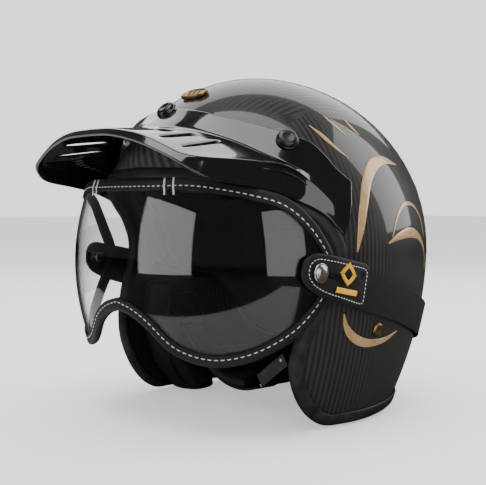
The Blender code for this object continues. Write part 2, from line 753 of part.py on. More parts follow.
def slider_frame():
    """Middle of the strap slider, the direction of the strap there, and its outward direction."""
    frames = strap_path(140)
    angle_of = [math.degrees(math.atan2(p.x, -(p.y - CENTRE_Y))) for p, _ in frames]
    index = min(range(len(frames)), key=lambda k: abs(angle_of[k] - SLIDER_ANGLE))
    tangent = (frames[index + 2][0] - frames[index - 2][0]).normalized()
    normal = frames[index][1]
    normal = (normal - tangent * normal.dot(tangent)).normalized()
    return frames[index][0] + normal * 0.0014, tangent, normal


def build_strap(parts, material):
    count = 64
    frames = strap_path(count)
    middle, line, out = slider_frame()
    flat = SLIDER_LENGTH / 2 + SLIDER_TRAVEL + 0.002
    fade = 0.016
    moved = []
    for point, normal in frames:
        distance = (point - middle).dot(line)
        near = (point - middle).length < 0.06
        weight = 0.0
        if near:
            weight = min(1.0, max(0.0, (flat + fade - abs(distance)) / fade))
            weight = weight * weight * (3 - 2 * weight)
        straight = middle + line * distance
        moved.append((point.lerp(straight, weight), normal.lerp(out, weight).normalized()))
    built = []
    for i, (point, normal) in enumerate(moved):
        tangent = (moved[min(i + 1, count)][0] - moved[max(i - 1, 0)][0]).normalized()
        across = normal.cross(tangent).normalized()
        built.append((point, across, tangent.cross(across).normalized()))
    half = STRAP_WIDTH / 2
    wall = STRAP_WALL / 2
    section = ((-half, -wall), (half, -wall), (half, wall), (-half, wall))
    add_object("goggle_strap", sweep(built, section, True), material, parts)


def build_slider(parts, cutters, material):
    middle, line, out = slider_frame()
    across = out.cross(line).normalized()
    maker = bmesh.new()
    bmesh.ops.create_cube(maker, size=1.0)
    bmesh.ops.scale(maker, vec=(SLIDER_LENGTH, STRAP_WIDTH + 0.007, 0.0052), verts=maker.verts)
    slider = add_object("strap_slider", maker, material, parts)
    place(slider, middle, line, across, out)
    round_edges(slider, 0.0008)
    hollow = bmesh.new()
    bmesh.ops.create_cube(hollow, size=1.0)
    bmesh.ops.scale(hollow, vec=(SLIDER_LENGTH * 2, STRAP_WIDTH + 0.0016, STRAP_WALL + 0.0010),
                    verts=hollow.verts)
    tunnel = add_object("slider_tunnel", hollow, None, cutters)
    place(tunnel, middle, line, across, out)
    cut(slider, tunnel)


# ---- chin strap ----------------------------------------------------------------------------
def strap_root_line(side):
    """Start of the chin strap's hidden root at its rivet, and its direction to the pad's slot."""
    anchor = on_shell(ANCHOR_ANGLE, level_of(ANCHOR_Z), -SHELL_WALL - 0.0070)
    end = Vector((HINGE_X + ROOT_GAP, CENTRE_Y + HINGE_Y, HINGE_Z))
    direction = end - anchor
    direction.normalize()
    anchor.x *= side
    direction.x *= side
    return anchor, direction


def build_strap_root(name, side, parts, material):
    start, direction = strap_root_line(side)
    length = abs((HINGE_X + ROOT_GAP - abs(start.x)) / direction.x)
    maker = bmesh.new()
    bmesh.ops.create_cube(maker, size=1.0)
    bmesh.ops.scale(maker, vec=(length, CHIN_WIDTH, CHIN_WALL), verts=maker.verts)
    root = add_object(name, maker, material, parts)
    root.matrix_world = (Matrix.Translation(start + direction * (length / 2))
                         @ direction.to_track_quat("X", "Z").to_matrix().to_4x4())


def build_anchor_rivet(name, side, parts, material):
    level = level_of(ANCHOR_Z)
    origin = on_shell(side * ANCHOR_ANGLE, level)
    normal = shell_normal(side * ANCHOR_ANGLE, level)
    inner = -SHELL_WALL - 0.0012
    profile = ((0, inner), (RIVET_SHANK, inner), (RIVET_SHANK, 0.0005), (0.0050, 0.0005),
               (0.0050, 0.0009), (0.0038, 0.0019), (0, 0.0022))
    rivet = turned(name, profile, material, parts, 12)
    rivet.matrix_world = (Matrix.Translation(origin)
                          @ normal.to_track_quat("Z", "Y").to_matrix().to_4x4())


def chin_height(x):
    """Height of the hanging strap's curve, which the stiff buckle turns into a straight stretch."""
    def hang(place):
        return HINGE_Z - CHIN_SAG * (1 - (place / HINGE_X) ** 2)

    start, end = BUCKLE_REACH
    if start < x < end:
        return hang(start) + (hang(end) - hang(start)) * (x - start) / (end - start)
    return hang(x)


def chin_point(x, lift=0.0):
    """Point on the hanging strap's middle line, moved along its upward normal by lift."""
    slope = (chin_height(x + 0.001) - chin_height(x - 0.001)) / 0.002
    normal = Vector((-slope, 0, 1)).normalized()
    return Vector((x, CENTRE_Y + HINGE_Y, chin_height(x))) + normal * lift


def chin_band(name, start, end, steps, width, low, high, parts, material):
    """Band that follows the hanging strap from x = start to x = end."""
    def point(u, v, w):
        position = chin_point(start + (end - start) * u, low + (high - low) * w)
        position.y += width * (v - 0.5)
        return position

    band = add_object(name, block(point, (steps, 1, 1)), material, parts)
    bring_origin(band, swing_point())
    return band


def swing_point():
    """Middle of the line about which the chin strap swings."""
    return Vector((0, CENTRE_Y + HINGE_Y, HINGE_Z))


def buckle_axes():
    """Middle of the buckle, its direction along the strap towards the anchor, and its upward."""
    slope = (chin_height(BUCKLE_X + 0.001) - chin_height(BUCKLE_X - 0.001)) / 0.002
    line = Vector((1, 0, slope)).normalized()
    up = Vector((-slope, 0, 1)).normalized()
    middle = chin_point(BUCKLE_X, 0.0)
    return middle, line, up


def buckle_box(name, size, centre, parts, material):
    """Box in the buckle's own axes: along the strap, across it, and up."""
    middle, line, up = buckle_axes()
    maker = bmesh.new()
    bmesh.ops.create_cube(maker, size=1.0)
    bmesh.ops.scale(maker, vec=size, verts=maker.verts)
    bmesh.ops.translate(maker, vec=centre, verts=maker.verts)
    obj = add_object(name, maker, material, parts)
    place(obj, middle, line, Vector((0, 1, 0)), up)
    return obj


def build_buckle(parts, cutters, steel, black):
    """Ratchet buckle: a channel housing, its toothed tongue, and the lever that frees it."""
    half = BUCKLE_HALF
    housing_size = (2 * half, BUCKLE_WIDTH, BUCKLE_DEPTH)
    housing = buckle_box("buckle_housing", housing_size, (0, 0, 0.0012), parts, black)
    channel_size = (4 * half, CHANNEL_WIDTH, 0.0100)
    channel = buckle_box("housing_channel", channel_size, (0, 0, 0.0032), cutters, None)
    cut(housing, channel)
    middle, line, up = buckle_axes()
    pin_spot = middle + line * (half - 0.0045) + up * 0.0030
    across = Vector((0, 1, 0))
    pin_hole = cylinder_cutter("pin_hole", PIN_HOLE, 0.05, pin_spot, across, cutters)
    cut(housing, pin_hole)
    bring_origin(housing, swing_point())
    tongue = buckle_box("ratchet_tongue", TONGUE, (-0.008, 0, -0.0005), parts, steel)
    for k in range(5):
        notch = buckle_box("tooth_gap_%d" % k, (0.0012, 0.0200, 0.0010),
                           (-0.004 + TOOTH_PITCH * k, 0, 0.0004), cutters, None)
        cut(tongue, notch)
    lever = buckle_box("release_lever", LEVER, (half - 0.0018 - LEVER[0] / 2, 0, 0.0030), parts, steel)
    cut(lever, pin_hole)
    bring_origin(lever, pin_spot)
    maker = bmesh.new()
    bmesh.ops.create_cone(maker, cap_ends=True, segments=12, radius1=PIN_RADIUS,
                          radius2=PIN_RADIUS, depth=BUCKLE_WIDTH - 0.0006)
    pin = add_object("lever_pin", maker, steel, parts)
    pin.matrix_world = (Matrix.Translation(pin_spot)
                        @ across.to_track_quat("Z", "Y").to_matrix().to_4x4())
    bring_origin(pin, swing_point())


def bring_origin(obj, spot):
    """Move an object's origin to a point without moving its shape."""
    local = obj.matrix_world.inverted() @ spot
    obj.data.transform(Matrix.Translation(-local))
    obj.matrix_world = obj.matrix_world @ Matrix.Translation(local)


def build_chin_strap(parts, cutters, webbing, steel, black, leather):
    wall = CHIN_WALL / 2
    tail = BUCKLE_X + BUCKLE_HALF * 0.86
    chin_band("chin_strap_left", tail, HINGE_X, 4, CHIN_WIDTH, -wall, wall, parts, webbing)
    chin_band("chin_strap_right", -HINGE_X, 0.0198, 12, CHIN_WIDTH, -wall, wall, parts, webbing)
    chin_band("chin_pad", *PAD_REACH, 8, PAD_WIDTH, wall + GAP, wall + PAD_DEPTH, parts, leather)
    build_buckle(parts, cutters, steel, black)
    for side, word in ((1, "left"), (-1, "right")):
        build_strap_root("strap_root_" + word, side, parts, webbing)
        build_anchor_rivet("anchor_rivet_" + word, side, parts, steel)


# ---- whole helmet --------------------------------------------------------------------------
def main():
    clear_scene()
    parts = make_collection("open_face_helmet")
    cutters = make_collection("cutters", hidden=True)

    carbon = make_material("shell_carbon", (0.030, 0.028, 0.027), 0.28)
    gloss = make_material("gloss_black_plastic", (0.012, 0.012, 0.013), 0.08)
    rubber = make_material("edge_rubber", (0.030, 0.030, 0.031), 0.55)
    foam = make_material("eps_foam", (0.020, 0.020, 0.021), 0.85)
    fabric = make_material("liner_fabric", (0.018, 0.018, 0.019), 0.90)
    leather = make_material("black_leather", (0.016, 0.016, 0.016), 0.50)
    clear = make_material("clear_lens", (0.85, 0.87, 0.88), 0.04, alpha=0.25)
    elastic = make_material("elastic_webbing", (0.012, 0.012, 0.013), 0.80)
    webbing = make_material("chin_webbing", (0.014, 0.014, 0.015), 0.75)
    nickel = make_material("nickel", (0.70, 0.60, 0.54), 0.25, metallic=1.0)
    steel = make_material("steel", (0.55, 0.55, 0.56), 0.30, metallic=1.0)
    bronze = make_material("bronze", (0.52, 0.33, 0.15), 0.35, metallic=1.0)
    plastic = make_material("black_plastic", (0.015, 0.015, 0.016), 0.40)

    build_shell(parts, cutters, carbon)
    build_linings(parts, foam, fabric)
    build_cheek_pad("cheek_pad_left", 1, parts, cutters, leather)
    build_cheek_pad("cheek_pad_right", -1, parts, cutters, leather)
    build_neck_roll(parts, leather)
    build_edge_trim(parts, rubber)
    surface = build_peak(parts, cutters, gloss)
    build_snaps(parts, surface, steel, gloss)
    build_badge(parts, bronze)
    build_lens(parts, cutters, clear)
    build_lens_trim(parts, leather)
    for side, spot in rivet_places():
        word = "left" if side > 0 else "right"
        build_tab("strap_tab_" + word, side, spot, parts, cutters, leather)
        build_rivet("press_stud_" + word, side, spot, parts, nickel)
    build_strap(parts, elastic)
    build_slider(parts, cutters, plastic)
    build_chin_strap(parts, cutters, webbing, steel, plastic, leather)


main()
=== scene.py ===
"""Looks of the open face helmet: shell, peak, goggle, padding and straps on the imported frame."""

import json
import math

import bmesh
import bpy
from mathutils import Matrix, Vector
from mathutils.bvhtree import BVHTree


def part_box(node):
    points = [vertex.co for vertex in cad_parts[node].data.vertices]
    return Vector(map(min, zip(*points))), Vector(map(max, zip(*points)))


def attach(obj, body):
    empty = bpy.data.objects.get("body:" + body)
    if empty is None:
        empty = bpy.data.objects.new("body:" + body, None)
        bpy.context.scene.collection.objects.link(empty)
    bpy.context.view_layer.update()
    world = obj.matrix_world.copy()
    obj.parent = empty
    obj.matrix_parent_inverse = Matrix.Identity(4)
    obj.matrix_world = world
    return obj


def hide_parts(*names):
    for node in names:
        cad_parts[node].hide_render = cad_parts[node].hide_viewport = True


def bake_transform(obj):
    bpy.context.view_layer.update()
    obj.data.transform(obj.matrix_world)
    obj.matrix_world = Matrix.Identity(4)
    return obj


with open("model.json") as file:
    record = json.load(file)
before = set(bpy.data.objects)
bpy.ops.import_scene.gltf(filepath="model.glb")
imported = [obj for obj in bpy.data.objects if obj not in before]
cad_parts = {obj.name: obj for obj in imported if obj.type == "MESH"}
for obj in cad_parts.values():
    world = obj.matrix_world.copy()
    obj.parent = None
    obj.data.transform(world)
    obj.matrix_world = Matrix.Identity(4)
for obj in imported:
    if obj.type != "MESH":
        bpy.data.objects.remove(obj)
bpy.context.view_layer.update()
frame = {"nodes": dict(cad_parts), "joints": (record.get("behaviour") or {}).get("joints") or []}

# ---- dimensions shared with the CAD, in metres ---------------------------------------------
HALF_WIDTH, _, SHELL_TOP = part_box("outer_shell")[1]
BELT = 0.119                        # height of the shell's widest level
FRONT, REAR = 0.119, 0.139          # reach to the front and rear there
TUCK_WIDTH, TUCK_FRONT, TUCK_REAR = 0.20, 0.14, 0.26    # drawn in from there to the ground
CENTRE_Y = 0.0055
SHELL_WALL = 0.004
# outer faces, from the shell's own, and walls of the foam and the two layers of the lining
FOAM_FACE, FOAM_WALL = -0.0062, 0.0178
LINING_FACE, LINING_WALL = -0.0290, 0.0030
CUSHION_FACE, CUSHION_WALL = -0.0325, 0.0024
BEND = 5                            # how late a column turns towards its place on the rim
# rims: angle from the front, height, and angle at the crown
SHELL_RIM = (
    (0.0, 0.1690, 0.0), (30.0, 0.1665, 27.0), (50.0, 0.1580, 47.0), (64.0, 0.1446, 61.0),
    (70.0, 0.1340, 68.0), (73.6, 0.1190, 75.0), (72.0, 0.1000, 80.0), (67.7, 0.0856, 84.0),
    (62.4, 0.0620, 88.0), (60.8, 0.0447, 91.0), (63.5, 0.0268, 95.0), (69.0, 0.0128, 99.0),
    (76.0, 0.0052, 103.0), (84.0, 0.0042, 107.0), (96.0, 0.0042, 112.0), (112.0, 0.0052, 121.0),
    (130.0, 0.0062, 135.0), (155.0, 0.0065, 157.0), (180.0, 0.0065, 180.0))
LINER_RIM = (
    (0.0, 0.1745, 0.0), (30.0, 0.1720, 27.0), (50.0, 0.1640, 47.0), (64.0, 0.1515, 61.0),
    (73.0, 0.1380, 70.0), (80.0, 0.1180, 79.0), (84.0, 0.1030, 85.0), (94.0, 0.0960, 94.0),
    (106.0, 0.0920, 106.0), (115.0, 0.0740, 115.0), (124.0, 0.0520, 124.0),
    (142.0, 0.0400, 142.0), (180.0, 0.0370, 180.0))
# stations across half the peak, in millimetres: inner edge, brim, fold and free edge
PEAK_STATIONS = (
    ((0, -80, 214.5), (0, -106, 202), (0, -146, 199), (0, -150, 195.5)),
    ((18, -80, 214), (21, -101.5, 201), (24, -146, 198.2), (25, -150, 194.6)),
    ((34, -79, 212.3), (41, -92.5, 198.5), (48, -143.5, 194), (49, -147.5, 189.5)),
    ((49, -76, 208), (58, -84.5, 193.5), (68, -140, 186.5), (70, -143.5, 182)),
    ((60, -70.5, 205.5), (69, -78.5, 189.2), (80, -136.5, 181), (83, -139, 175.5)),
    ((68, -65, 203), (76, -74.5, 185.8), (88, -126, 178.5), (90.5, -127, 167)),
    ((77, -58.5, 200), (83, -70, 182.2), (92, -104, 177.8), (93.5, -104, 163)),
    ((85, -52, 197), (90, -64, 178.5), (96, -84, 176.5), (97, -84, 159.5)),
    ((91, -45.5, 193.7), (97, -57, 174.5), (100.5, -67, 173.5), (101.5, -68, 155)),
    ((96, -39, 190), (102.5, -50, 170), (104.5, -53.5, 166.5), (106, -53.5, 149)),
    ((103, -34, 182), (108.5, -42, 163), (110.5, -44, 157), (112, -43.5, 142.5)),
    ((108.5, -29.5, 173.6), (112.5, -36, 156), (114.5, -37.5, 149), (116.2, -37.5, 135.5)),
    ((114, -20.7, 165), (116.5, -23.5, 150), (117.8, -27.5, 139), (118.3, -32.3, 130)))
PEAK_WALL = 0.0022
PEAK_CLEAR = 0.0052                 # least gap from the shell to the peak's outer face
SNAPS = (("centre", 0.0, 0.2105), ("left", 58.5, 0.1885), ("right", -58.5, 0.1885))
LENS_X, LENS_Y, LENS_CENTRE, LENS_MID, LENS_CROWN = 0.121, 0.075, -0.0515, 0.107, 0.10
LENS_WALL = 0.002
# the lens's edge: angle from the front and height
LENS_TOP = ((0, 0.165), (15, 0.165), (32, 0.1650), (46, 0.162), (59, 0.158), (71, 0.1525),
            (80, 0.1425), (87, 0.1305), (92, 0.119), (94, 0.108))
LENS_BOTTOM = ((0, 0.082), (6.5, 0.0785), (13.4, 0.071), (22, 0.058), (31, 0.0515), (42, 0.0492),
               (54, 0.0525), (65, 0.0596), (77, 0.0715), (87, 0.0875), (92, 0.0990), (94, 0.108))
# a tab's outline: y and z from its rivet; and its inner face: y, and x there
TAB_OUTLINE = ((-0.0125, -0.0030), (-0.0105, 0.0085), (-0.0020, 0.0128), (0.0140, 0.0100),
               (0.0440, 0.0040), (0.0485, 0.0000), (0.0425, -0.0235), (0.0370, -0.0255),
               (0.0060, -0.0165), (-0.0060, -0.0110))
TAB_REACH = ((-0.080, 0.1180), (-0.0695, 0.1214), (-0.0570, 0.1225), (-0.0540, 0.1240),
             (-0.045, 0.1243), (-0.030, 0.1234), (-0.013, 0.1216), (-0.005, 0.1208))
TAB_WALL = 0.003
STRAP_LINE = ((82.0, 0.0937), (97.5, 0.0845), (121.0, 0.0690), (150.0, 0.0560), (180.0, 0.0510))
STRAP_WIDTH, STRAP_WALL, STRAP_OFF = 0.025, 0.0016, 0.0022
SLIDER_LENGTH, SLIDER_TRAVEL = 0.022, 0.008
ANCHOR_ANGLE, ANCHOR_Z = 92.5, 0.066
HINGE_Y, HINGE_Z, HINGE_X, CHIN_SAG = -0.008, 0.054, 0.066, 0.041
CHIN_WIDTH = 0.020
BUCKLE_REACH = (0.020, 0.056)       # stretch of the strap along x that the buckle keeps straight
BADGE_Z = 0.2268
FLOOR_GAP = 0.0006                  # padding stays at least this far above the floor
SIDES = ((1, "left"), (-1, "right"))
JOINTS = {joint["name"]: joint for joint in frame["joints"]}
RIVET = Vector(JOINTS["tab_swivel_left"]["pos_m"])
HEAD = Vector((0, CENTRE_Y, BELT))


# ---- curves and surfaces -------------------------------------------------------------------
def along(points, t):
    """Point at t (0 to 1) on a smooth curve through the points, evenly by their number."""
    last = len(points) - 1
    position = min(max(t, 0.0), 1.0) * last
    index = min(int(position), last - 1)
    f = position - index
    p1 = Vector(points[index])
    p2 = Vector(points[index + 1])
    p0 = Vector(points[index - 1]) if index > 0 else p1 * 2 - p2
    p3 = Vector(points[index + 2]) if index + 2 <= last else p2 * 2 - p1
    return 0.5 * ((2 * p1) + (p2 - p0) * f + (2 * p0 - 5 * p1 + 4 * p2 - p3) * f ** 2
                  + (3 * p1 - p0 - 3 * p2 + p3) * f ** 3)


def height_at(outline, place):
    """Second value of an outline of (place, value) points at a place."""
    for (a0, z0), (a1, z1) in zip(outline, outline[1:]):
        if place <= a1:
            return z0 + (z1 - z0) * (place - a0) / (a1 - a0)
    return outline[-1][1]


def even_lengths(points, count):
    """The same path with points at even distances along it."""
    lengths = [0.0]
    for a, b in zip(points, points[1:]):
        lengths.append(lengths[-1] + (b - a).length)
    result = []
    index = 0
    for step in range(count + 1):
        wanted = lengths[-1] * step / count
        while index < len(points) - 2 and lengths[index + 1] < wanted:
            index += 1
        span = lengths[index + 1] - lengths[index]
        result.append(points[index].lerp(points[index + 1], (wanted - lengths[index]) / span))
    return result


def smooth_step(value):
    value = min(1.0, max(0.0, value))
    return value * value * (3 - 2 * value)


def round_corner(before, corner, after, radius, share, steps):
    """Points of the curve that takes a corner's place, using at most a share of each side."""
    back = before - corner
    on = after - corner
    reach = min(radius, back.length * share, on.length * share)
    a = corner + back.normalized() * reach
    b = corner + on.normalized() * reach
    return [a.lerp(corner, k / steps).lerp(corner.lerp(b, k / steps), k / steps)
            for k in range(steps + 1)]


def level_of(z):
    """0 at the crown, 1 at the belt, 2 at the ground."""
    if z >= BELT:
        return math.acos(min(1.0, (z - BELT) / (SHELL_TOP - BELT))) * 2 / math.pi
    return 1 + (BELT - z) / BELT


def on_shell(angle, level, off=0.0):
    """Point on the shell's outer face moved out by off."""
    a = math.radians(angle)
    behind = math.cos(a) < 0
    reach = REAR if behind else FRONT
    if level <= 1:
        t = level * math.pi / 2
        z = BELT + (SHELL_TOP - BELT + off) * math.cos(t)
        half = (HALF_WIDTH + off) * math.sin(t)
        reach = (reach + off) * math.sin(t)
    else:
        q = level - 1
        z = BELT * (1 - q)
        half = HALF_WIDTH * (1 - TUCK_WIDTH * q * q) + off
        reach = reach * (1 - (TUCK_REAR if behind else TUCK_FRONT) * q * q) + off
    return Vector((half * math.sin(a), CENTRE_Y - reach * math.cos(a), z))


def angle_of(point):
    """Angle from the front, round the shell, of a point on it."""
    back = point.y - CENTRE_Y
    return math.degrees(math.atan2(point.x / HALF_WIDTH, -back / (FRONT if back < 0 else REAR)))


def shell_normal(angle, level):
    side = on_shell(angle + 1, level) - on_shell(angle - 1, level)
    down = on_shell(angle, level + 0.01) - on_shell(angle, level - 0.01)
    normal = down.cross(side).normalized()
    out = on_shell(angle, level, 0.01) - on_shell(angle, level)
    return normal if normal.dot(out) > 0 else -normal


def push_clear(point, clear):
    """Move a point straight out from the middle of the dome until it clears the shell."""
    local = Vector((point.x, point.y - CENTRE_Y, point.z - BELT))
    reach = REAR if local.y > 0 else FRONT
    size = math.sqrt((local.x / (HALF_WIDTH + clear)) ** 2 + (local.y / (reach + clear)) ** 2
                     + (local.z / (SHELL_TOP - BELT + clear)) ** 2)
    return point if size >= 1 else HEAD + local / size


def on_lens(angle, z, off=0.0):
    a = math.radians(angle)
    crown = 1 - LENS_CROWN * ((z - LENS_MID) / 0.054) ** 2
    return Vector(((LENS_X * crown + off) * math.sin(a),
                   CENTRE_Y + LENS_CENTRE - (LENS_Y * crown + off) * math.cos(a), z))


def lens_normal(angle, z):
    side = on_lens(angle + 1, z) - on_lens(angle - 1, z)
    up = on_lens(angle, z + 0.001) - on_lens(angle, z - 0.001)
    return side.cross(up).normalized()


# ---- mesh making ---------------------------------------------------------------------------
def add_object(name, data):
    item = bpy.data.objects.new(name, data)
    bpy.context.scene.collection.objects.link(item)
    return item


def finish_piece(name, maker, material, body, hides=()):
    """Turn a bmesh into a smooth piece that replaces CAD nodes and may ride on a body."""
    bmesh.ops.remove_doubles(maker, verts=maker.verts, dist=0.000005)
    bmesh.ops.recalc_face_normals(maker, faces=maker.faces)
    maker.normal_update()
    for face in maker.faces:
        face.smooth = True
    mesh = bpy.data.meshes.new(name)
    maker.to_mesh(mesh)
    maker.free()
    mesh.materials.append(material)
    piece = add_object(name, mesh)
    if body:
        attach(piece, body)
    if hides:
        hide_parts(*hides)
    return piece


def lay_grid(maker, rows, uvs=None, close_across=False, holes=()):
    """Quads between rows of points, with UVs in metres where they are given."""
    layer = maker.loops.layers.uv.verify() if uvs else None
    grid = [[maker.verts.new(point) for point in row] for row in rows]
    count = len(rows[0])
    for i in range(len(rows) - 1):
        for j in range(count if close_across else count - 1):
            if (i, j) in holes:
                continue
            corners = ((i, j), (i + 1, j), (i + 1, (j + 1) % count), (i, (j + 1) % count))
            face = maker.faces.new([grid[a][b] for a, b in corners])
            if layer:
                spots = ((i, j), (i + 1, j), (i + 1, j + 1), (i, j + 1))
                for loop, (a, b) in zip(face.loops, spots):
                    loop[layer].uv = uvs(a, b)
    return grid


def sweep(maker, frames, section, closed=False, capped=True, scale=None):
    """A section carried along frames of (origin, first axis, second axis)."""
    lengths = [0.0]
    for a, b in zip(frames, frames[1:]):
        lengths.append(lengths[-1] + (b[0] - a[0]).length)
    rows = []
    for i, (origin, first, second) in enumerate(frames):
        size = scale(i / (len(frames) - 1)) if scale else 1.0
        rows.append([origin + first * a * size + second * b * size for a, b in section])
    if closed:
        rows.append(rows[0])
        lengths.append(lengths[-1] + (frames[0][0] - frames[-1][0]).length)
    around = [0.0]
    for a, b in zip(section, section[1:] + section[:1]):
        around.append(around[-1] + math.dist(a, b))
    grid = lay_grid(maker, rows, lambda i, j: (lengths[i], around[j]), close_across=True)
    if capped and not closed:
        maker.faces.new(grid[0])
        maker.faces.new(grid[-1])
    return grid


def ribbon_section(width, wall, corner=4):
    """Flat band's outline with rounded edges."""
    points = []
    for side in (1, -1):
        for k in range(corner + 1):
            a = side * math.pi / 2 - math.pi * k / corner
            points.append((side * (width / 2 - wall / 2) + math.cos(a) * wall / 2,
                           math.sin(a) * wall / 2))
    return points


def round_section(radius, count=8):
    return [(radius * math.cos(2 * math.pi * k / count), radius * math.sin(2 * math.pi * k / count))
            for k in range(count)]


def path_frames(points, ups, closed=False):
    """Frames along a path: across it, and along its up direction, which is one or one per point."""
    frames = []
    count = len(points)
    for i, point in enumerate(points):
        ahead = points[(i + 1) % count] if closed else points[min(i + 1, count - 1)]
        behind = points[i - 1] if closed or i else points[0]
        tangent = (ahead - behind).normalized()
        up = ups if isinstance(ups, Vector) else ups[i]
        across = up.cross(tangent).normalized()
        frames.append((point, across, tangent.cross(across).normalized()))
    return frames


def edge_frames(points, normals):
    """Frames round half an edge that ends on the mirror plane: in its surface, and out of it."""
    last = len(points) - 1
    points[0].x = points[last].x = 0.0
    frames = []
    for i, (point, normal) in enumerate(zip(points, normals)):
        if i in (0, last):
            tangent = Vector((1 if i == 0 else -1, 0, 0))
            normal.x = 0.0
        else:
            tangent = points[i + 1] - points[i - 1]
        frames.append((point, tangent.cross(normal).normalized(), normal.normalized()))
    return frames


def add_stitch(maker, start, end, up, radius):
    """One stitch: a short thread that rises out of its cloth and dips back in."""
    points = [start.lerp(end, k / 5) + up * radius * (math.sin(math.pi * k / 5) * 1.3 - 0.5)
              for k in range(6)]
    section = [(a * 1.15, b * 0.85) for a, b in round_section(radius, 6)]
    sweep(maker, path_frames(points, up), section,
          scale=lambda t: 0.55 + 0.45 * math.sin(math.pi * t) ** 0.5)


def stitch_line(maker, points, ups, pitch, radius):
    """Stitches at an even pitch along a path, with one up direction or evenly spread ones."""
    fill = 0.62
    length = sum((b - a).length for a, b in zip(points, points[1:]))
    count = max(1, int(length / pitch))
    spots = even_lengths(points, count)
    for k, (start, end) in enumerate(zip(spots, spots[1:])):
        up = ups if isinstance(ups, Vector) else ups[int((k + 0.5) / count * len(ups))]
        add_stitch(maker, start.lerp(end, 0.5 - fill / 2), start.lerp(end, 0.5 + fill / 2), up,
                   radius)


def turned(maker, profile, origin, direction):
    """Add a solid turned from a profile of (radius, height) that starts and ends on its axis."""
    turn = direction.to_track_quat("Z", "Y").to_matrix()
    rows = []
    for k in range(48):
        a = 2 * math.pi * k / 48
        rows.append([origin + turn @ Vector((r * math.cos(a), r * math.sin(a), z))
                     for r, z in profile])
    lay_grid(maker, rows + [rows[0]])


def rounded_profile(points, radius, steps=4):
    """A turned profile with its inner corners rounded."""
    spots = [Vector(point) for point in points]
    result = [points[0]]
    for before, corner, after in zip(spots, spots[1:], spots[2:]):
        result += [tuple(p) for p in round_corner(before, corner, after, radius, 0.45, steps)]
    return result + [points[-1]]


def add_mirror(piece):
    mirror = piece.modifiers.new("Mirror", "MIRROR")
    mirror.use_axis = (True, False, False)
    mirror.use_clip = True
    mirror.merge_threshold = 0.00005


def add_wall(piece, wall):
    solid = piece.modifiers.new("Solidify", "SOLIDIFY")
    solid.thickness = wall
    solid.offset = -1.0


def add_smoothing(piece, levels):
    subdivision = piece.modifiers.new("Subdivision", "SUBSURF")
    subdivision.levels = levels
    subdivision.render_levels = levels


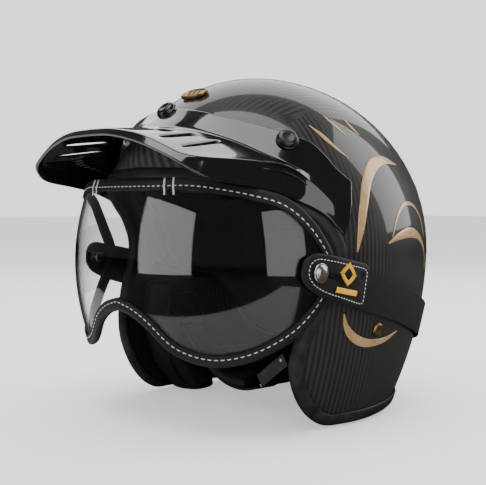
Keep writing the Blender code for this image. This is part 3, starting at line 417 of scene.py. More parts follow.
# ---- materials -----------------------------------------------------------------------------
class Paint:
    """A Principled material and short ways to wire procedural detail into it."""

    def __init__(self, name, colour, roughness, metallic=0.0, **sockets):
        self.material = bpy.data.materials.new(name)
        self.material.use_nodes = True
        self.tree = self.material.node_tree
        self.shader = self.tree.nodes["Principled BSDF"]
        self.set("Base Color", (*colour, 1.0))
        self.set("Roughness", roughness)
        self.set("Metallic", metallic)
        for socket, value in sockets.items():
            self.set(socket.replace("_", " "), value)
        self.coordinates = self.tree.nodes.new("ShaderNodeTexCoord")
        self.normal = None

    def set(self, socket, value):
        self.shader.inputs[socket].default_value = value

    def plug(self, value, socket):
        if isinstance(value, (int, float, tuple)):
            socket.default_value = value
        else:
            self.tree.links.new(value, socket)

    def node(self, kind, *values, **named):
        """A new node, with its inputs set or linked in their order or by their names."""
        node = self.tree.nodes.new("ShaderNode" + kind)
        for value, socket in zip(values, node.inputs):
            self.plug(value, socket)
        for name, value in named.items():
            self.plug(value, node.inputs[name.replace("_", " ")])
        return node

    def math(self, operation, *values):
        node = self.node("Math", *values)
        node.operation = operation
        return node.outputs[0]

    def plus(self, a, b):
        return self.math("ADD", a, b)

    def minus(self, a, b):
        return self.math("SUBTRACT", a, b)

    def times(self, a, b):
        return self.math("MULTIPLY", a, b)

    def place(self, name="Object"):
        return self.coordinates.outputs[name]

    def split(self, vector):
        return self.node("SeparateXYZ", vector).outputs

    def stretched(self, scale):
        """Object coordinates, scaled along each axis."""
        return self.node("Mapping", Vector=self.place(), Scale=scale).outputs[0]

    def noise(self, scale, detail=3.0, vector=None):
        return self.node("TexNoise", Vector=vector or self.place(), Scale=scale, Detail=detail,
                         Roughness=0.55).outputs[0]

    def cells(self, scale, feature="F1"):
        node = self.node("TexVoronoi", Vector=self.place(), Scale=scale)
        node.feature = feature
        return node.outputs["Distance"]

    def spread(self, value, low, high, to_low, to_high):
        return self.node("MapRange", Value=value, From_Min=low, From_Max=high, To_Min=to_low,
                         To_Max=to_high).outputs[0]

    def choose(self, mask, yes, no):
        """One of two numbers."""
        node = self.node("Mix", mask)
        self.plug(no, node.inputs[2])
        self.plug(yes, node.inputs[3])
        return node.outputs[0]

    def blend(self, factor, first, second):
        """Colour between two colours."""
        node = self.node("Mix", factor)
        node.data_type = "RGBA"
        for value, socket in ((first, node.inputs[6]), (second, node.inputs[7])):
            self.plug((*value, 1.0) if isinstance(value, tuple) else value, socket)
        return node.outputs[2]

    def colour(self, value):
        self.plug(value, self.shader.inputs["Base Color"])

    def mottle(self, value, low, high, first, second, top=1.0):
        """Base colour that goes from one colour to another between two values."""
        self.colour(self.blend(self.spread(value, low, high, 0.0, top), first, second))

    def roughness(self, value, low, high, to_low, to_high):
        self.plug(self.spread(value, low, high, to_low, to_high), self.shader.inputs["Roughness"])

    def bump(self, height, distance, strength=1.0):
        """One more layer of bump on top of those before it."""
        node = self.node("Bump", Strength=strength, Distance=distance, Height=height)
        if self.normal is not None:
            self.plug(self.normal, node.inputs["Normal"])
        self.normal = node.outputs[0]
        self.plug(self.normal, self.shader.inputs["Normal"])

    def twill(self, u, v, tow):
        """Two by two twill: which tow is on top (0 or 1), and the rounded height of it."""
        u = self.math("DIVIDE", u, tow)
        v = self.math("DIVIDE", v, tow)
        cell = self.plus(self.math("FLOOR", u), self.math("FLOOR", v))
        on_top = self.math("LESS_THAN", self.math("FLOORED_MODULO", cell, 4.0), 1.5)
        ridge_u = self.math("SINE", self.times(self.math("FRACT", u), math.pi))
        ridge_v = self.math("SINE", self.times(self.math("FRACT", v), math.pi))
        return on_top, self.plus(self.times(ridge_u, on_top),
                                 self.times(ridge_v, self.minus(1.0, on_top)))


def lighter(colour, factor):
    return tuple(value * factor for value in colour)


def carbon_paint():
    """Clear-coated carbon twill: laid flat over the sides, the front and back, and the crown."""
    paint = Paint("carbon_twill", (0.03, 0.028, 0.027), 0.38, Specular_IOR_Level=0.25,
                  Coat_Weight=0.75, Coat_Roughness=0.06)
    x, y, z = paint.split(paint.place())
    nx, ny, nz = paint.split(paint.node("NewGeometry").outputs["Normal"])
    on_side = paint.math("GREATER_THAN", paint.math("ABSOLUTE", nx), 0.66)
    on_crown = paint.math("GREATER_THAN", paint.math("ABSOLUTE", nz), 0.72)
    u = paint.choose(on_side, paint.plus(y, z), paint.choose(on_crown, paint.plus(x, y), x))
    v = paint.choose(on_side, paint.minus(y, z), paint.choose(on_crown, paint.minus(x, y), z))
    on_top, height = paint.twill(u, v, 0.0019)
    fibres = paint.noise(1.0, 2.0, paint.stretched((2600, 2600, 300)))
    # painted sheen: the tows on top get lighter colours than those under them, standing in for
    # light glancing off fibres that run one way; the fibre noise adds random tone
    tone = paint.plus(paint.times(on_top, 0.55), paint.times(fibres, 0.45))
    shade = paint.blend(tone, (0.008, 0.0076, 0.0073), (0.033, 0.031, 0.029))
    # painted sheen: a lit, brighter copy of the weave's colours, used on the brow below
    bright = paint.blend(tone, (0.010, 0.0095, 0.009), (0.115, 0.110, 0.104))
    # painted sheen: the brow under the peak gets a brighter, higher-contrast copy of the weave's
    # colours, so its weave shows more clearly than the rest; it stands in for light glinting off
    # the tows
    painted_sheen_brow = paint.math("LESS_THAN", paint.math("MAXIMUM", on_side, on_crown), 0.5)
    painted_sheen_brow = paint.times(painted_sheen_brow, paint.math("LESS_THAN", ny, 0.0))
    painted_sheen_brow = paint.times(painted_sheen_brow, paint.math("LESS_THAN", z, 0.200))
    edge = paint.spread(height, 0.0, 0.35, 0.35, 1.0)
    paint.colour(paint.blend(edge, (0.003, 0.003, 0.003), paint.blend(painted_sheen_brow, shade, bright)))
    paint.roughness(on_top, 0, 1, 0.34, 0.50)
    paint.bump(height, 0.00006, 0.16)
    paint.bump(paint.noise(38.0, 2.0), 0.0006, 0.10)
    return paint.material


def gloss_paint(name="gloss_black", colour=(0.0045, 0.0045, 0.005), roughness=0.10, coat=0.9):
    paint = Paint(name, colour, roughness, Coat_Weight=coat, Coat_Roughness=0.03)
    paint.roughness(paint.noise(55.0, 4.0), 0.35, 0.7, roughness * 0.7, roughness * 1.8)
    paint.bump(paint.noise(90.0, 2.0), 0.0004, 0.06)
    paint.bump(paint.noise(1.0, 3.0, paint.stretched((260, 1900, 700))), 0.00002, 0.08)
    return paint.material


def leather_paint(name, colour=(0.006, 0.0058, 0.0056), scale=620.0, roughness=0.52):
    paint = Paint(name, colour, roughness, Sheen_Weight=0.02, Specular_IOR_Level=0.32)
    creases = paint.spread(paint.cells(scale, "DISTANCE_TO_EDGE"), 0.0, 0.16, 0.0, 1.0)
    paint.mottle(paint.noise(46.0, 5.0), 0.45, 0.75, colour, lighter(colour, 2.6), 0.5)
    paint.roughness(creases, 0.0, 1.0, roughness + 0.2, roughness - 0.06)
    paint.bump(creases, 0.00016, 0.55)
    paint.bump(paint.noise(150.0, 4.0), 0.0005, 0.25)
    return paint.material


def knit_paint(name, colour):
    """Brushed knit on any shape: crossed waves in object space and a soft nap."""
    paint = Paint(name, colour, 0.92, Sheen_Weight=0.06, Sheen_Roughness=0.5)
    turn = 2 * math.pi / 0.0011
    waves = [paint.math("SINE", paint.times(axis, turn)) for axis in paint.split(paint.place())]
    weave = paint.times(paint.plus(waves[0], waves[1]), 0.5)
    weave = paint.times(paint.plus(weave, waves[2]), 0.5)
    nap = paint.noise(2100.0, 3.0)
    tone = paint.times(paint.plus(nap, paint.spread(weave, -1, 1, 0, 1)), 0.5)
    paint.colour(paint.blend(tone, colour, lighter(colour, 2.4)))
    paint.bump(weave, 0.00022, 0.5)
    paint.bump(nap, 0.0002, 0.5)
    return paint.material


def webbing_paint(name, colour, cord=0.0016):
    """Woven band from its UVs: herringbone picks across, in columns along it."""
    paint = Paint(name, colour, 0.78, Sheen_Weight=0.02, Specular_IOR_Level=0.22)
    u, v, _ = paint.split(paint.place("UV"))
    column = paint.math("PINGPONG", paint.math("DIVIDE", v, cord), 1.0)
    slant = paint.plus(paint.math("DIVIDE", u, cord * 0.55), column)
    pick = paint.math("SINE", paint.times(slant, 2 * math.pi))
    rib = paint.math("SINE", paint.times(column, math.pi))
    height = paint.plus(paint.times(pick, 0.5), paint.times(rib, 0.6))
    nap = paint.noise(1700.0, 3.0)
    paint.mottle(height, -0.5, 1.1, colour, lighter(colour, 3.0))
    paint.roughness(nap, 0.3, 0.7, 0.68, 0.9)
    paint.bump(height, 0.00022, 0.8)
    paint.bump(nap, 0.0001, 0.5)
    return paint.material


def rubber_paint():
    paint = Paint("edge_rubber_look", (0.028, 0.028, 0.029), 0.48, Specular_IOR_Level=0.35)
    blotch = paint.noise(120.0, 5.0)
    paint.roughness(blotch, 0.3, 0.7, 0.38, 0.6)
    paint.mottle(blotch, 0.4, 0.75, (0.010, 0.010, 0.0105), (0.024, 0.024, 0.025))
    paint.bump(paint.noise(900.0, 3.0), 0.00012, 0.35)
    return paint.material


def foam_paint():
    paint = Paint("foam_beads", (0.016, 0.016, 0.017), 0.8)
    beads = paint.cells(300.0)
    paint.mottle(beads, 0.2, 0.7, (0.022, 0.022, 0.023), (0.008, 0.008, 0.008))
    paint.bump(beads, 0.0006, -0.6)
    return paint.material


def metal_paint(name, colour, roughness):
    paint = Paint(name, colour, roughness, 1.0)
    streaks = paint.noise(1.0, 4.0, paint.stretched((900, 900, 60)))
    paint.roughness(streaks, 0.3, 0.7, roughness * 0.75, roughness * 1.5)
    paint.mottle(paint.noise(210.0, 4.0), 0.45, 0.72, colour, lighter(colour, 0.55), 0.6)
    paint.bump(streaks, 0.00004, 0.3)
    return paint.material


def plastic_paint():
    paint = Paint("moulded_plastic", (0.014, 0.014, 0.015), 0.42)
    spark = paint.noise(1500.0, 3.0)
    paint.roughness(spark, 0.3, 0.7, 0.34, 0.55)
    paint.mottle(paint.noise(60.0), 0.4, 0.7, (0.012, 0.012, 0.013), (0.022, 0.022, 0.023))
    paint.bump(spark, 0.00006, 0.4)
    return paint.material


def thread_paint(name, colour):
    paint = Paint(name, colour, 0.6, Sheen_Weight=0.05)
    twist = paint.noise(1.0, 2.0, paint.stretched((3000, 1800, 3000)))
    paint.mottle(twist, 0.35, 0.65, lighter(colour, 0.6), colour)
    paint.bump(twist, 0.0001, 0.5)
    return paint.material


def gold_paint():
    paint = Paint("gold_line_paint", (0.50, 0.31, 0.135), 0.36, 0.45, Coat_Weight=0.6,
                  Coat_Roughness=0.08)
    mottled = paint.noise(150.0, 4.0)
    tone = paint.plus(paint.times(paint.cells(1500.0), 0.35), paint.times(mottled, 0.7))
    paint.mottle(tone, 0.3, 0.8, (0.40, 0.235, 0.095), (0.66, 0.44, 0.22))
    paint.bump(mottled, 0.00008, 0.3)
    return paint.material


def lens_paint():
    """Clear polycarbonate with a faint grey tint and fine wipe marks."""
    paint = Paint("clear_polycarbonate", (0.93, 0.94, 0.95), 0.012, Transmission_Weight=1.0,
                  IOR=1.50)
    wipes = paint.noise(1.0, 3.0, paint.stretched((60, 60, 900)))
    paint.roughness(wipes, 0.45, 0.8, 0.008, 0.035)
    paint.bump(paint.noise(14.0, 1.0), 0.0006, 0.05)
    return paint.material


# ---- shell ---------------------------------------------------------------------------------
def rim_columns(rim, count):
    """Points of a rim, as in its table, at even distances along it."""
    steps = 900
    fine = [along(rim, i / steps) for i in range(steps + 1)]
    spots = [on_shell(angle, level_of(z)) for angle, z, _ in fine]
    lengths = [0.0]
    for a, b in zip(spots, spots[1:]):
        lengths.append(lengths[-1] + (b - a).length)
    columns = []
    index = 0
    for i in range(count + 1):
        while index < steps and lengths[index] < lengths[-1] * i / count - 1e-9:
            index += 1
        columns.append(fine[index])
    return columns


def dome_piece(name, rim, columns, rows, off, wall, material, hides, puff=None):
    """Dome from the crown to a rim, mirrored and thickened inwards."""
    maker = bmesh.new()
    lines = []
    for angle, z, start in rim_columns(rim, columns):
        rim_level = level_of(z)
        line = []
        for j in range(rows + 1):
            v = max(j / rows, 0.0002)
            turn = start + (angle - start) * v ** BEND
            level = rim_level * v
            swell = puff(turn, level, v) if puff else 0.0
            line.append(on_shell(turn, level, off + swell))
        lines.append(line)
    for line in (lines[0], lines[-1]):
        for point in line:
            point.x = 0.0
    crown = on_shell(0, 0, off)
    for line in lines:
        line[0] = crown.copy()
    lay_grid(maker, lines)
    bmesh.ops.dissolve_degenerate(maker, dist=0.00001, edges=maker.edges)
    piece = finish_piece(name, maker, material, "helmet", hides)
    add_mirror(piece)
    add_wall(piece, wall)
    return piece


def make_shell(paints):
    dome_piece("carbon_shell", SHELL_RIM, 110, 44, 0.0, SHELL_WALL, paints["carbon"],
               ["outer_shell"])
    dome_piece("foam_liner", LINER_RIM, 70, 26, FOAM_FACE, FOAM_WALL, paints["foam"],
               ["eps_liner"])


def make_crown_lining(paints):
    """Quilted comfort lining: padded panels between sewn channels, with a bound edge."""
    depth = 0.0030
    ring_level = 0.9            # above it, channels run across the panels too

    def sink(turn, level, v):
        panel = abs(math.sin(math.radians(turn) * 3.0)) ** 0.5
        ring = 1.0
        if level < ring_level:
            ring = abs(math.sin(math.pi * min(1.0, level / ring_level) * 2.0)) ** 0.5
        return -depth * (1 - panel * ring * smooth_step((1 - v) / 0.08))

    piece = dome_piece("comfort_lining", LINER_RIM, 100, 40, LINING_FACE, LINING_WALL,
                       paints["knit"], ["comfort_liner"], sink)
    inner = dome_piece("comfort_cushion", LINER_RIM, 100, 40, CUSHION_FACE, CUSHION_WALL,
                       paints["knit"], [],
                       lambda turn, level, v: -sink(turn, level, v) - depth)
    places = [(angle, level_of(z + 0.0015)) for angle, z, _ in rim_columns(LINER_RIM, 90)]
    points = [on_shell(angle, level, -0.0315) for angle, level in places]
    points[0].x = points[-1].x = 0.0
    maker = bmesh.new()
    sweep(maker, path_frames(points, [shell_normal(*place) for place in places]),
          [(a, b * 1.5) for a, b in round_section(0.0026, 12)], capped=False)
    binding = finish_piece("lining_binding", maker, paints["leather"], "helmet")
    add_mirror(binding)


def make_edge_trim(paints):
    """Rubber channel round the shell's edge: a full rounded bead with a lip on the outer face."""
    wall = SHELL_WALL
    section = [(-0.0060, 0.0002), (-0.0062, 0.0009), (-0.0055, 0.0016), (-0.0030, 0.0020),
               (0.0004, 0.0021), (0.0020, 0.0014), (0.0029, 0.0000), (0.0032, -wall / 2),
               (0.0029, -wall), (0.0018, -wall - 0.0014), (0.0002, -wall - 0.0018),
               (-0.0024, -wall - 0.0016), (-0.0027, -wall - 0.0009), (-0.0026, -wall - 0.0003),
               (0.0005, -wall - 0.0003), (0.0005, 0.0002)]
    places = [(angle, level_of(z)) for angle, z, _ in rim_columns(SHELL_RIM, 170)]
    frames = edge_frames([on_shell(*place) for place in places],
                         [shell_normal(*place) for place in places])
    maker = bmesh.new()
    sweep(maker, frames, section, capped=False)
    piece = finish_piece("edge_channel", maker, paints["rubber"], "helmet",
                         ["edge_trim"])
    add_mirror(piece)


def make_badge(paints):
    """Plain oval plaque with a raised border and three bars."""
    level = level_of(BADGE_Z)
    normal = shell_normal(0.0, level)
    origin = on_shell(0.0, level) + normal * 0.0003
    turn = normal.to_track_quat("Z", "X").to_matrix()
    half_high, half_wide, rise = 0.0063, 0.0122, 0.0030
    profile = rounded_profile(((0.0, 0.0), (1.0, 0.0), (1.0, 0.62), (0.93, 0.85), (0.84, 0.85),
                               (0.78, 0.55), (0.0, 0.60)), 0.05, 3)
    maker = bmesh.new()
    rows = []
    for k in range(64):
        a = 2 * math.pi * k / 64
        squash = (abs(math.cos(a)) ** 2.6 + abs(math.sin(a)) ** 2.6) ** (-1 / 2.6)
        rows.append([origin + turn @ Vector((math.cos(a) * squash * r * half_high,
                                             math.sin(a) * squash * r * half_wide, z * rise))
                     for r, z in profile])
    lay_grid(maker, rows + [rows[0]])
    for k in (-1, 0, 1):
        bar = [origin + turn @ Vector((s * 0.0030, k * 0.0048 + s * 0.0009, 0.0019))
               for s in (-1, -0.5, 0, 0.5, 1)]
        sweep(maker, path_frames(bar, normal), round_section(0.00075, 8),
              scale=lambda t: 0.35 + 0.65 * math.sin(math.pi * t))
    finish_piece("oval_plaque", maker, paints["bronze"], "helmet", ["forehead_badge"])


def make_rivets(paints):
    """Domed rivets that hold the chin strap, low on the shell's sides."""
    level = level_of(ANCHOR_Z)
    profile = rounded_profile(((0, -0.0040), (0.0020, -0.0040), (0.0020, 0.0003), (0.0050, 0.0003),
                               (0.0050, 0.0010), (0.0036, 0.0021), (0.0018, 0.0017), (0, 0.0016)),
                              0.0005)
    for side, word in SIDES:
        maker = bmesh.new()
        turned(maker, profile, on_shell(side * ANCHOR_ANGLE, level),
               shell_normal(side * ANCHOR_ANGLE, level))
        finish_piece("side_rivet_" + word, maker, paints["bronze"], "helmet",
                     ["anchor_rivet_" + word])


def shell_stroke(maker, route, widths, side):
    """A painted line on the shell: route of (angle, height), its width swelling along it."""
    steps = 64
    thickness = 0.00022
    centre = [along(route, i / steps) for i in range(steps + 1)]
    points = [on_shell(side * p[0], level_of(p[1]), 0.00016) for p in centre]
    points = even_lengths(points, steps)
    rows = []
    for i, point in enumerate(points):
        tangent = (points[min(i + 1, steps)] - points[max(i - 1, 0)]).normalized()
        normal = shell_normal(angle_of(point), level_of(point.z))
        across = normal.cross(tangent).normalized()
        half = along([(w, 0) for w in widths], i / steps)[0] / 2
        row = []
        for s, lift in ((-1, -0.5), (-0.96, 0.6), (-0.5, 1.0), (0, 1.0), (0.5, 1.0), (0.96, 0.6),
                        (1, -0.5)):
            place = point + across * half * s
            row.append(on_shell(angle_of(place), level_of(place.z),
                                0.00012 + thickness * 0.5 * lift))
        row.append(point - normal * thickness)
        rows.append(row)
    grid = lay_grid(maker, rows, close_across=True)
    maker.faces.new(grid[0])
    maker.faces.new(grid[-1])


def make_strokes(paints):
    """Plain gold line work: one long sweep, its hook under the strap, a leaf and short dashes."""
    strokes = (
        (((112, 0.178), (103, 0.1805), (95, 0.176), (89, 0.164), (85, 0.148), (82.5, 0.131),
          (81, 0.119)),
         (0.001, 0.006, 0.0088, 0.0082, 0.0076, 0.0060, 0.0010)),
        (((77, 0.079), (78.5, 0.070), (82.5, 0.062), (89, 0.0575), (97, 0.058), (104, 0.0625)),
         (0.0008, 0.0052, 0.0062, 0.0050, 0.0034, 0.001)),
        (((97, 0.128), (101, 0.142), (107, 0.150), (114, 0.149), (119, 0.140), (121, 0.127)),
         (0.001, 0.0022, 0.003, 0.003, 0.0022, 0.001)),
        (((95, 0.124), (101, 0.1285), (108, 0.1305), (115, 0.127), (121, 0.117), (124, 0.102)),
         (0.001, 0.0055, 0.0075, 0.005, 0.0025, 0.0008)),
        (((82, 0.2100), (85, 0.2035), (88, 0.197)), (0.0008, 0.0027, 0.0008)),
        (((94, 0.2095), (95, 0.2035), (96.5, 0.1975)), (0.0008, 0.0024, 0.0008)),
        (((71, 0.2025), (75, 0.1962), (79, 0.1885), (84, 0.1805)),
         (0.0006, 0.0032, 0.0022, 0.0005)),
        (((128, 0.158), (140, 0.166), (152, 0.163), (163, 0.150), (168, 0.132)),
         (0.001, 0.005, 0.0068, 0.005, 0.001)),
        (((132, 0.114), (142, 0.125), (153, 0.124), (161, 0.112), (164, 0.098)),
         (0.0008, 0.0028, 0.0036, 0.0026, 0.0008)),
    )
    for side, word in SIDES:
        maker = bmesh.new()
        for route, widths in strokes:
            shell_stroke(maker, route, widths, side)
        finish_piece("gold_lines_" + word, maker, paints["gold"], "helmet")


# ---- peak ----------------------------------------------------------------------------------
def peak_row(t):
    """Cage points from the inner edge to the free edge, close together at the folds."""
    corners = []
    for k in range(4):
        point = along([station[k] for station in PEAK_STATIONS], t) / 1000
        point.y += CENTRE_Y
        corners.append(point)
    shares = ((0, 0.08, 0.45, 0.84), (0, 0.08, 0.20, 0.50, 0.80, 0.93), (0, 0.22, 0.6, 0.93, 1))
    return [push_clear(a.lerp(b, share), PEAK_CLEAR)
            for a, b, part in zip(corners, corners[1:], shares) for share in part]


def make_peak(paints):
    count = 48
    rows = [peak_row(i / count) for i in range(count + 1)]
    for point in rows[0]:
        point.x = 0.0
    slots = {(i, j) for i in (9, 13) for j in (6, 7)}
    maker = bmesh.new()
    lay_grid(maker, rows, holes=slots)
    piece = finish_piece("gloss_peak", maker, paints["gloss"], "peak_unit",
                         ["peak"])
    add_mirror(piece)
    add_wall(piece, PEAK_WALL)
    add_smoothing(piece, 2)
    make_peak_ribs(paints, rows)
    make_caps(paints, rows)


def make_peak_ribs(paints, rows):
    """Stiffening ribs under the brim, and two ridges at the end of each side fold."""
    maker = bmesh.new()
    down = Vector((0, 0.25, -1)).normalized()
    section = [(a * 0.0009, b * 0.0022) for a, b in round_section(1.0, 8)]
    for row in rows[14:33:2]:
        start = row[5].lerp(row[4], 0.5)
        points = [start.lerp(row[9], t) + down * (PEAK_WALL + 0.0008)
                  for t in (0.02, 0.15, 0.3, 0.45, 0.6)]
        sweep(maker, path_frames(points, Vector((0, 0, 1))), section,
              scale=lambda t: 1.0 - 0.75 * t)
    for shift in (0.0, 0.0042):
        points = [row[10] + Vector((0.0004, 0, 0.0002 - shift)) for row in rows[28:37]]
        sweep(maker, path_frames(points, Vector((1, 0, 0.4))), round_section(0.0010, 8),
              scale=lambda t: 0.25 + 0.75 * math.sin(math.pi * t))
    piece = finish_piece("peak_ribs", maker, paints["gloss"], "peak_unit")
    add_mirror(piece)


def make_caps(paints, rows):
    """Snap caps with a dished middle, each on a thin washer."""
    maker = bmesh.new()
    lay_grid(maker, rows)
    surface = BVHTree.FromBMesh(maker)
    maker.free()
    for word, angle, z in SNAPS:
        origin = on_shell(angle, level_of(z))
        normal = shell_normal(angle, level_of(z))
        seek = Vector((abs(origin.x), origin.y, origin.z))
        reach = surface.ray_cast(seek, Vector((abs(normal.x), normal.y, normal.z)))[3]
        maker = bmesh.new()
        low = reach + 0.0001
        profile = ((0, low), (0.0076, low), (0.0076, low + 0.0008), (0.0070, low + 0.0010),
                   (0.0070, low + 0.0016), (0.0062, low + 0.0032), (0.0042, low + 0.0040),
                   (0.0030, low + 0.0037), (0.0012, low + 0.0034), (0, low + 0.0034))
        turned(maker, rounded_profile(profile, 0.0006), origin, normal)
        finish_piece("snap_dome_" + word, maker, paints["cap"], "peak_unit",
                     ["snap_cap_" + word])


# ---- goggle --------------------------------------------------------------------------------
def lens_outline(count):
    """Angle and height round half of the lens's edge, from the top middle to the bottom middle."""
    degree = 0.0019             # metres along the lens for a degree of angle
    spots = [along(LENS_TOP, i / 120) for i in range(121)]
    spots += [along(LENS_BOTTOM, 1 - i / 120) for i in range(1, 121)]
    scaled = [Vector((p.x * degree, p.y, 0)) for p in spots]
    return [(p.x / degree, p.y) for p in even_lengths(scaled, count)]


def lens_edge_frames(count):
    """Frames round half of the lens's edge: outwards in its surface, and away from the face."""
    outline = lens_outline(count)
    frames = edge_frames([on_lens(*place) for place in outline],
                         [lens_normal(*place) for place in outline])
    return [(origin, -inward, normal) for origin, inward, normal in frames]


def curve_height(outline, angle):
    """Height of the smooth outline at an angle."""
    low, high = 0.0, 1.0
    for _ in range(30):
        t = (low + high) / 2
        if along(outline, t)[0] < angle:
            low = t
        else:
            high = t
    return along(outline, (low + high) / 2)[1]


def make_lens(paints):
    maker = bmesh.new()
    rows = []
    for i in range(81):
        angle = 93.2 * math.sin(math.pi / 2 * i / 80)
        low = curve_height(LENS_BOTTOM, angle) + 0.001
        high = curve_height(LENS_TOP, angle) - 0.001
        rows.append([on_lens(angle, low + (high - low) * j / 20) for j in range(21)])
    for point in rows[0]:
        point.x = 0.0
    lay_grid(maker, rows)
    piece = finish_piece("goggle_shield", maker, paints["lens"], "goggle",
                         ["goggle_lens"])
    add_mirror(piece)
    add_wall(piece, LENS_WALL)


def make_lens_binding(paints):
    """Folded leather binding with a bead at its edge, sewn all round with pale thread."""
    inner = -LENS_WALL
    section = [(-0.0062, 0.0002), (-0.0063, 0.0009), (-0.0056, 0.0014), (-0.0040, 0.0012),
               (-0.0022, 0.0014), (-0.0004, 0.0019), (0.0012, 0.0016), (0.0021, 0.0006),
               (0.0024, inner / 2), (0.0021, inner - 0.0005), (0.0012, inner - 0.0013),
               (-0.0020, inner - 0.0014), (-0.0050, inner - 0.0013), (-0.0062, inner - 0.0008),
               (-0.0061, inner - 0.0001), (-0.0004, inner - 0.0001), (-0.0004, 0.0002)]
    frames = lens_edge_frames(150)
    maker = bmesh.new()
    sweep(maker, frames, section, capped=False)
    piece = finish_piece("goggle_binding", maker, paints["trim_leather"], "goggle",
                         ["goggle_trim"])
    add_mirror(piece)
    maker = bmesh.new()
    seam = [origin - outward * 0.0036 + normal * 0.0013 for origin, outward, normal in frames]
    stitch_line(maker, seam, [normal for _, _, normal in frames], 0.0044, 0.00034)
    make_bar_tacks(maker)
    stitches = finish_piece("binding_stitches", maker, paints["thread"], "goggle")
    add_mirror(stitches)


def make_bar_tacks(maker):
    """A pair of short pale bars sewn across half of the binding's upper edge."""
    section = [(a * 0.00075, b * 0.0004) for a, b in round_section(1.0, 8)]
    for angle in (20.5, 24.5):
        z = curve_height(LENS_TOP, angle)
        normal = lens_normal(angle, z)
        down = (on_lens(angle, z - 0.010) - on_lens(angle, z)).normalized()
        top = on_lens(angle, z) + normal * 0.0020
        points = [top + down * fall - normal * dip for fall, dip in (
            (-0.0016, 0), (0, 0), (0.0045, 0), (0.0064, 0.0008), (0.0095, 0.0014))]
        sweep(maker, path_frames(points, normal), section)


def tab_point(side, y, z, layer):
    """Point on a tab: y and z from its rivet, layer 0 on its inner face and 1 on its outer."""
    place = y + RIVET.y - CENTRE_Y
    before, here, after = (height_at(TAB_REACH, place + step) for step in (-0.004, 0, 0.004))
    x = here * 0.5 + (before + after) * 0.25 + layer * TAB_WALL
    return Vector((side * x, RIVET.y + y, RIVET.z + z))


def inset_outline(distance, count=160):
    """The tab's outline with rounded corners, drawn in by a distance."""
    corners = [Vector((y, z, 0)) for y, z in TAB_OUTLINE]
    path = []
    for k, corner in enumerate(corners):
        after = corners[(k + 1) % len(corners)]
        path += round_corner(corners[k - 1], corner, after, 0.0045, 0.46, 6)
    path = even_lengths(path + [path[0]], count)[:-1]
    result = []
    for k, point in enumerate(path):
        tangent = (path[(k + 1) % count] - path[k - 1]).normalized()
        result.append(point + Vector((tangent.y, -tangent.x, 0)) * distance)
    return result


def make_tab(side, word, paints):
    """Leather tab with a rolled edge, a sewn border and a plain woven mark."""
    body = "tab_" + word
    rings = ((0.0012, 0.04), (0.0002, 0.16), (0.0, 0.5), (0.0002, 0.84), (0.0012, 1.0),
             (0.0030, 1.0), (0.0036, 0.97), (0.0042, 1.0), (0.0075, 1.0), (0.0110, 1.0))
    maker = bmesh.new()
    rows = [[tab_point(side, p.x, p.y, layer) for p in inset_outline(inset)]
            for inset, layer in rings]
    grid = lay_grid(maker, rows, close_across=True)
    maker.faces.new(grid[-1])
    maker.faces.new(grid[0])
    finish_piece("leather_tab_" + word, maker, paints["tab_leather"], body,
                 ["strap_tab_" + word])
    maker = bmesh.new()
    seam = [tab_point(side, p.x, p.y, 1.0) for p in inset_outline(0.0036)]
    stitch_line(maker, seam + [seam[0]], Vector((side, 0, 0)), 0.0026, 0.00028)
    finish_piece("tab_stitches_" + word, maker, paints["thread"], body)
    make_woven_mark(side, word, body, paints)


def make_woven_mark(side, word, body, paints):
    """Embroidered diamond outline over a plain bar, laid in satin stitch."""
    maker = bmesh.new()
    outward = Vector((side, 0, 0))
    lean = math.radians(-11)
    size = 1.14

    def spot(a, b):
        y = 0.0235 + (a * math.cos(lean) - b * math.sin(lean)) * size
        z = -0.0044 + (a * math.sin(lean) + b * math.cos(lean)) * size
        return tab_point(side, y, z, 1.0) + outward * 0.0002

    def satin(p, q):
        """One raised thread from p to q in the mark's own plane."""
        points = [spot(p[0] + (q[0] - p[0]) * t, p[1] + (q[1] - p[1]) * t)
                  + outward * 0.0005 * math.sin(math.pi * t) for t in (0, 0.2, 0.5, 0.8, 1)]
        sweep(maker, path_frames(points, outward), round_section(0.00034, 6))

    for k in range(34):
        a = -0.0085 + 0.017 * k / 33
        satin((a, -0.0088), (a + 0.0006, -0.0058))
    for k in range(40):
        a = 2 * math.pi * k / 40
        reach = 1 / (abs(math.cos(a)) + abs(math.sin(a))) ** 0.8
        outer = (0.0072 * math.cos(a) * reach, 0.0024 + 0.0066 * math.sin(a) * reach)
        inner = (0.0040 * math.cos(a + 0.06) * reach, 0.0024 + 0.0036 * math.sin(a + 0.06) * reach)
        satin(inner, outer)
    finish_piece("woven_mark_" + word, maker, paints["yellow"], body)


def make_press_studs(paints):
    """Domed press studs with a rolled rim."""
    for side, word in SIDES:
        spot = Vector((side * RIVET.x, RIVET.y, RIVET.z))
        face = height_at(TAB_REACH, RIVET.y - CENTRE_Y) + TAB_WALL + 0.0009 - RIVET.x
        profile = ((0, -0.0052), (0.0040, -0.0052), (0.0040, -0.0040), (0.0019, -0.0038),
                   (0.0019, face), (0.0061, face), (0.0063, face + 0.0006), (0.0058, face + 0.0012),
                   (0.0050, face + 0.0011), (0.0044, face + 0.0016), (0.0026, face + 0.0024),
                   (0, face + 0.0026))
        maker = bmesh.new()
        turned(maker, rounded_profile(profile, 0.0004), spot, Vector((side, 0, 0)))
        finish_piece("dome_stud_" + word, maker, paints["nickel"], "goggle",
                     ["press_stud_" + word])


# ---- goggle strap --------------------------------------------------------------------------
def strap_path(count):
    """Points along the middle of the band, right to left round the back, with their normals."""
    half = [along(STRAP_LINE, i / 80) for i in range(81)]
    places = [(-p[0], level_of(p[1])) for p in half]
    places += [(p[0], level_of(p[1])) for p in reversed(half[:-1])]
    points = [on_shell(*place, STRAP_OFF) for place in places]
    normals = [shell_normal(*place) for place in places]
    frames = []
    for point in even_lengths(points, count):
        nearest = min(range(len(points)), key=lambda k: (points[k] - point).length)
        frames.append((point, normals[nearest]))
    return frames


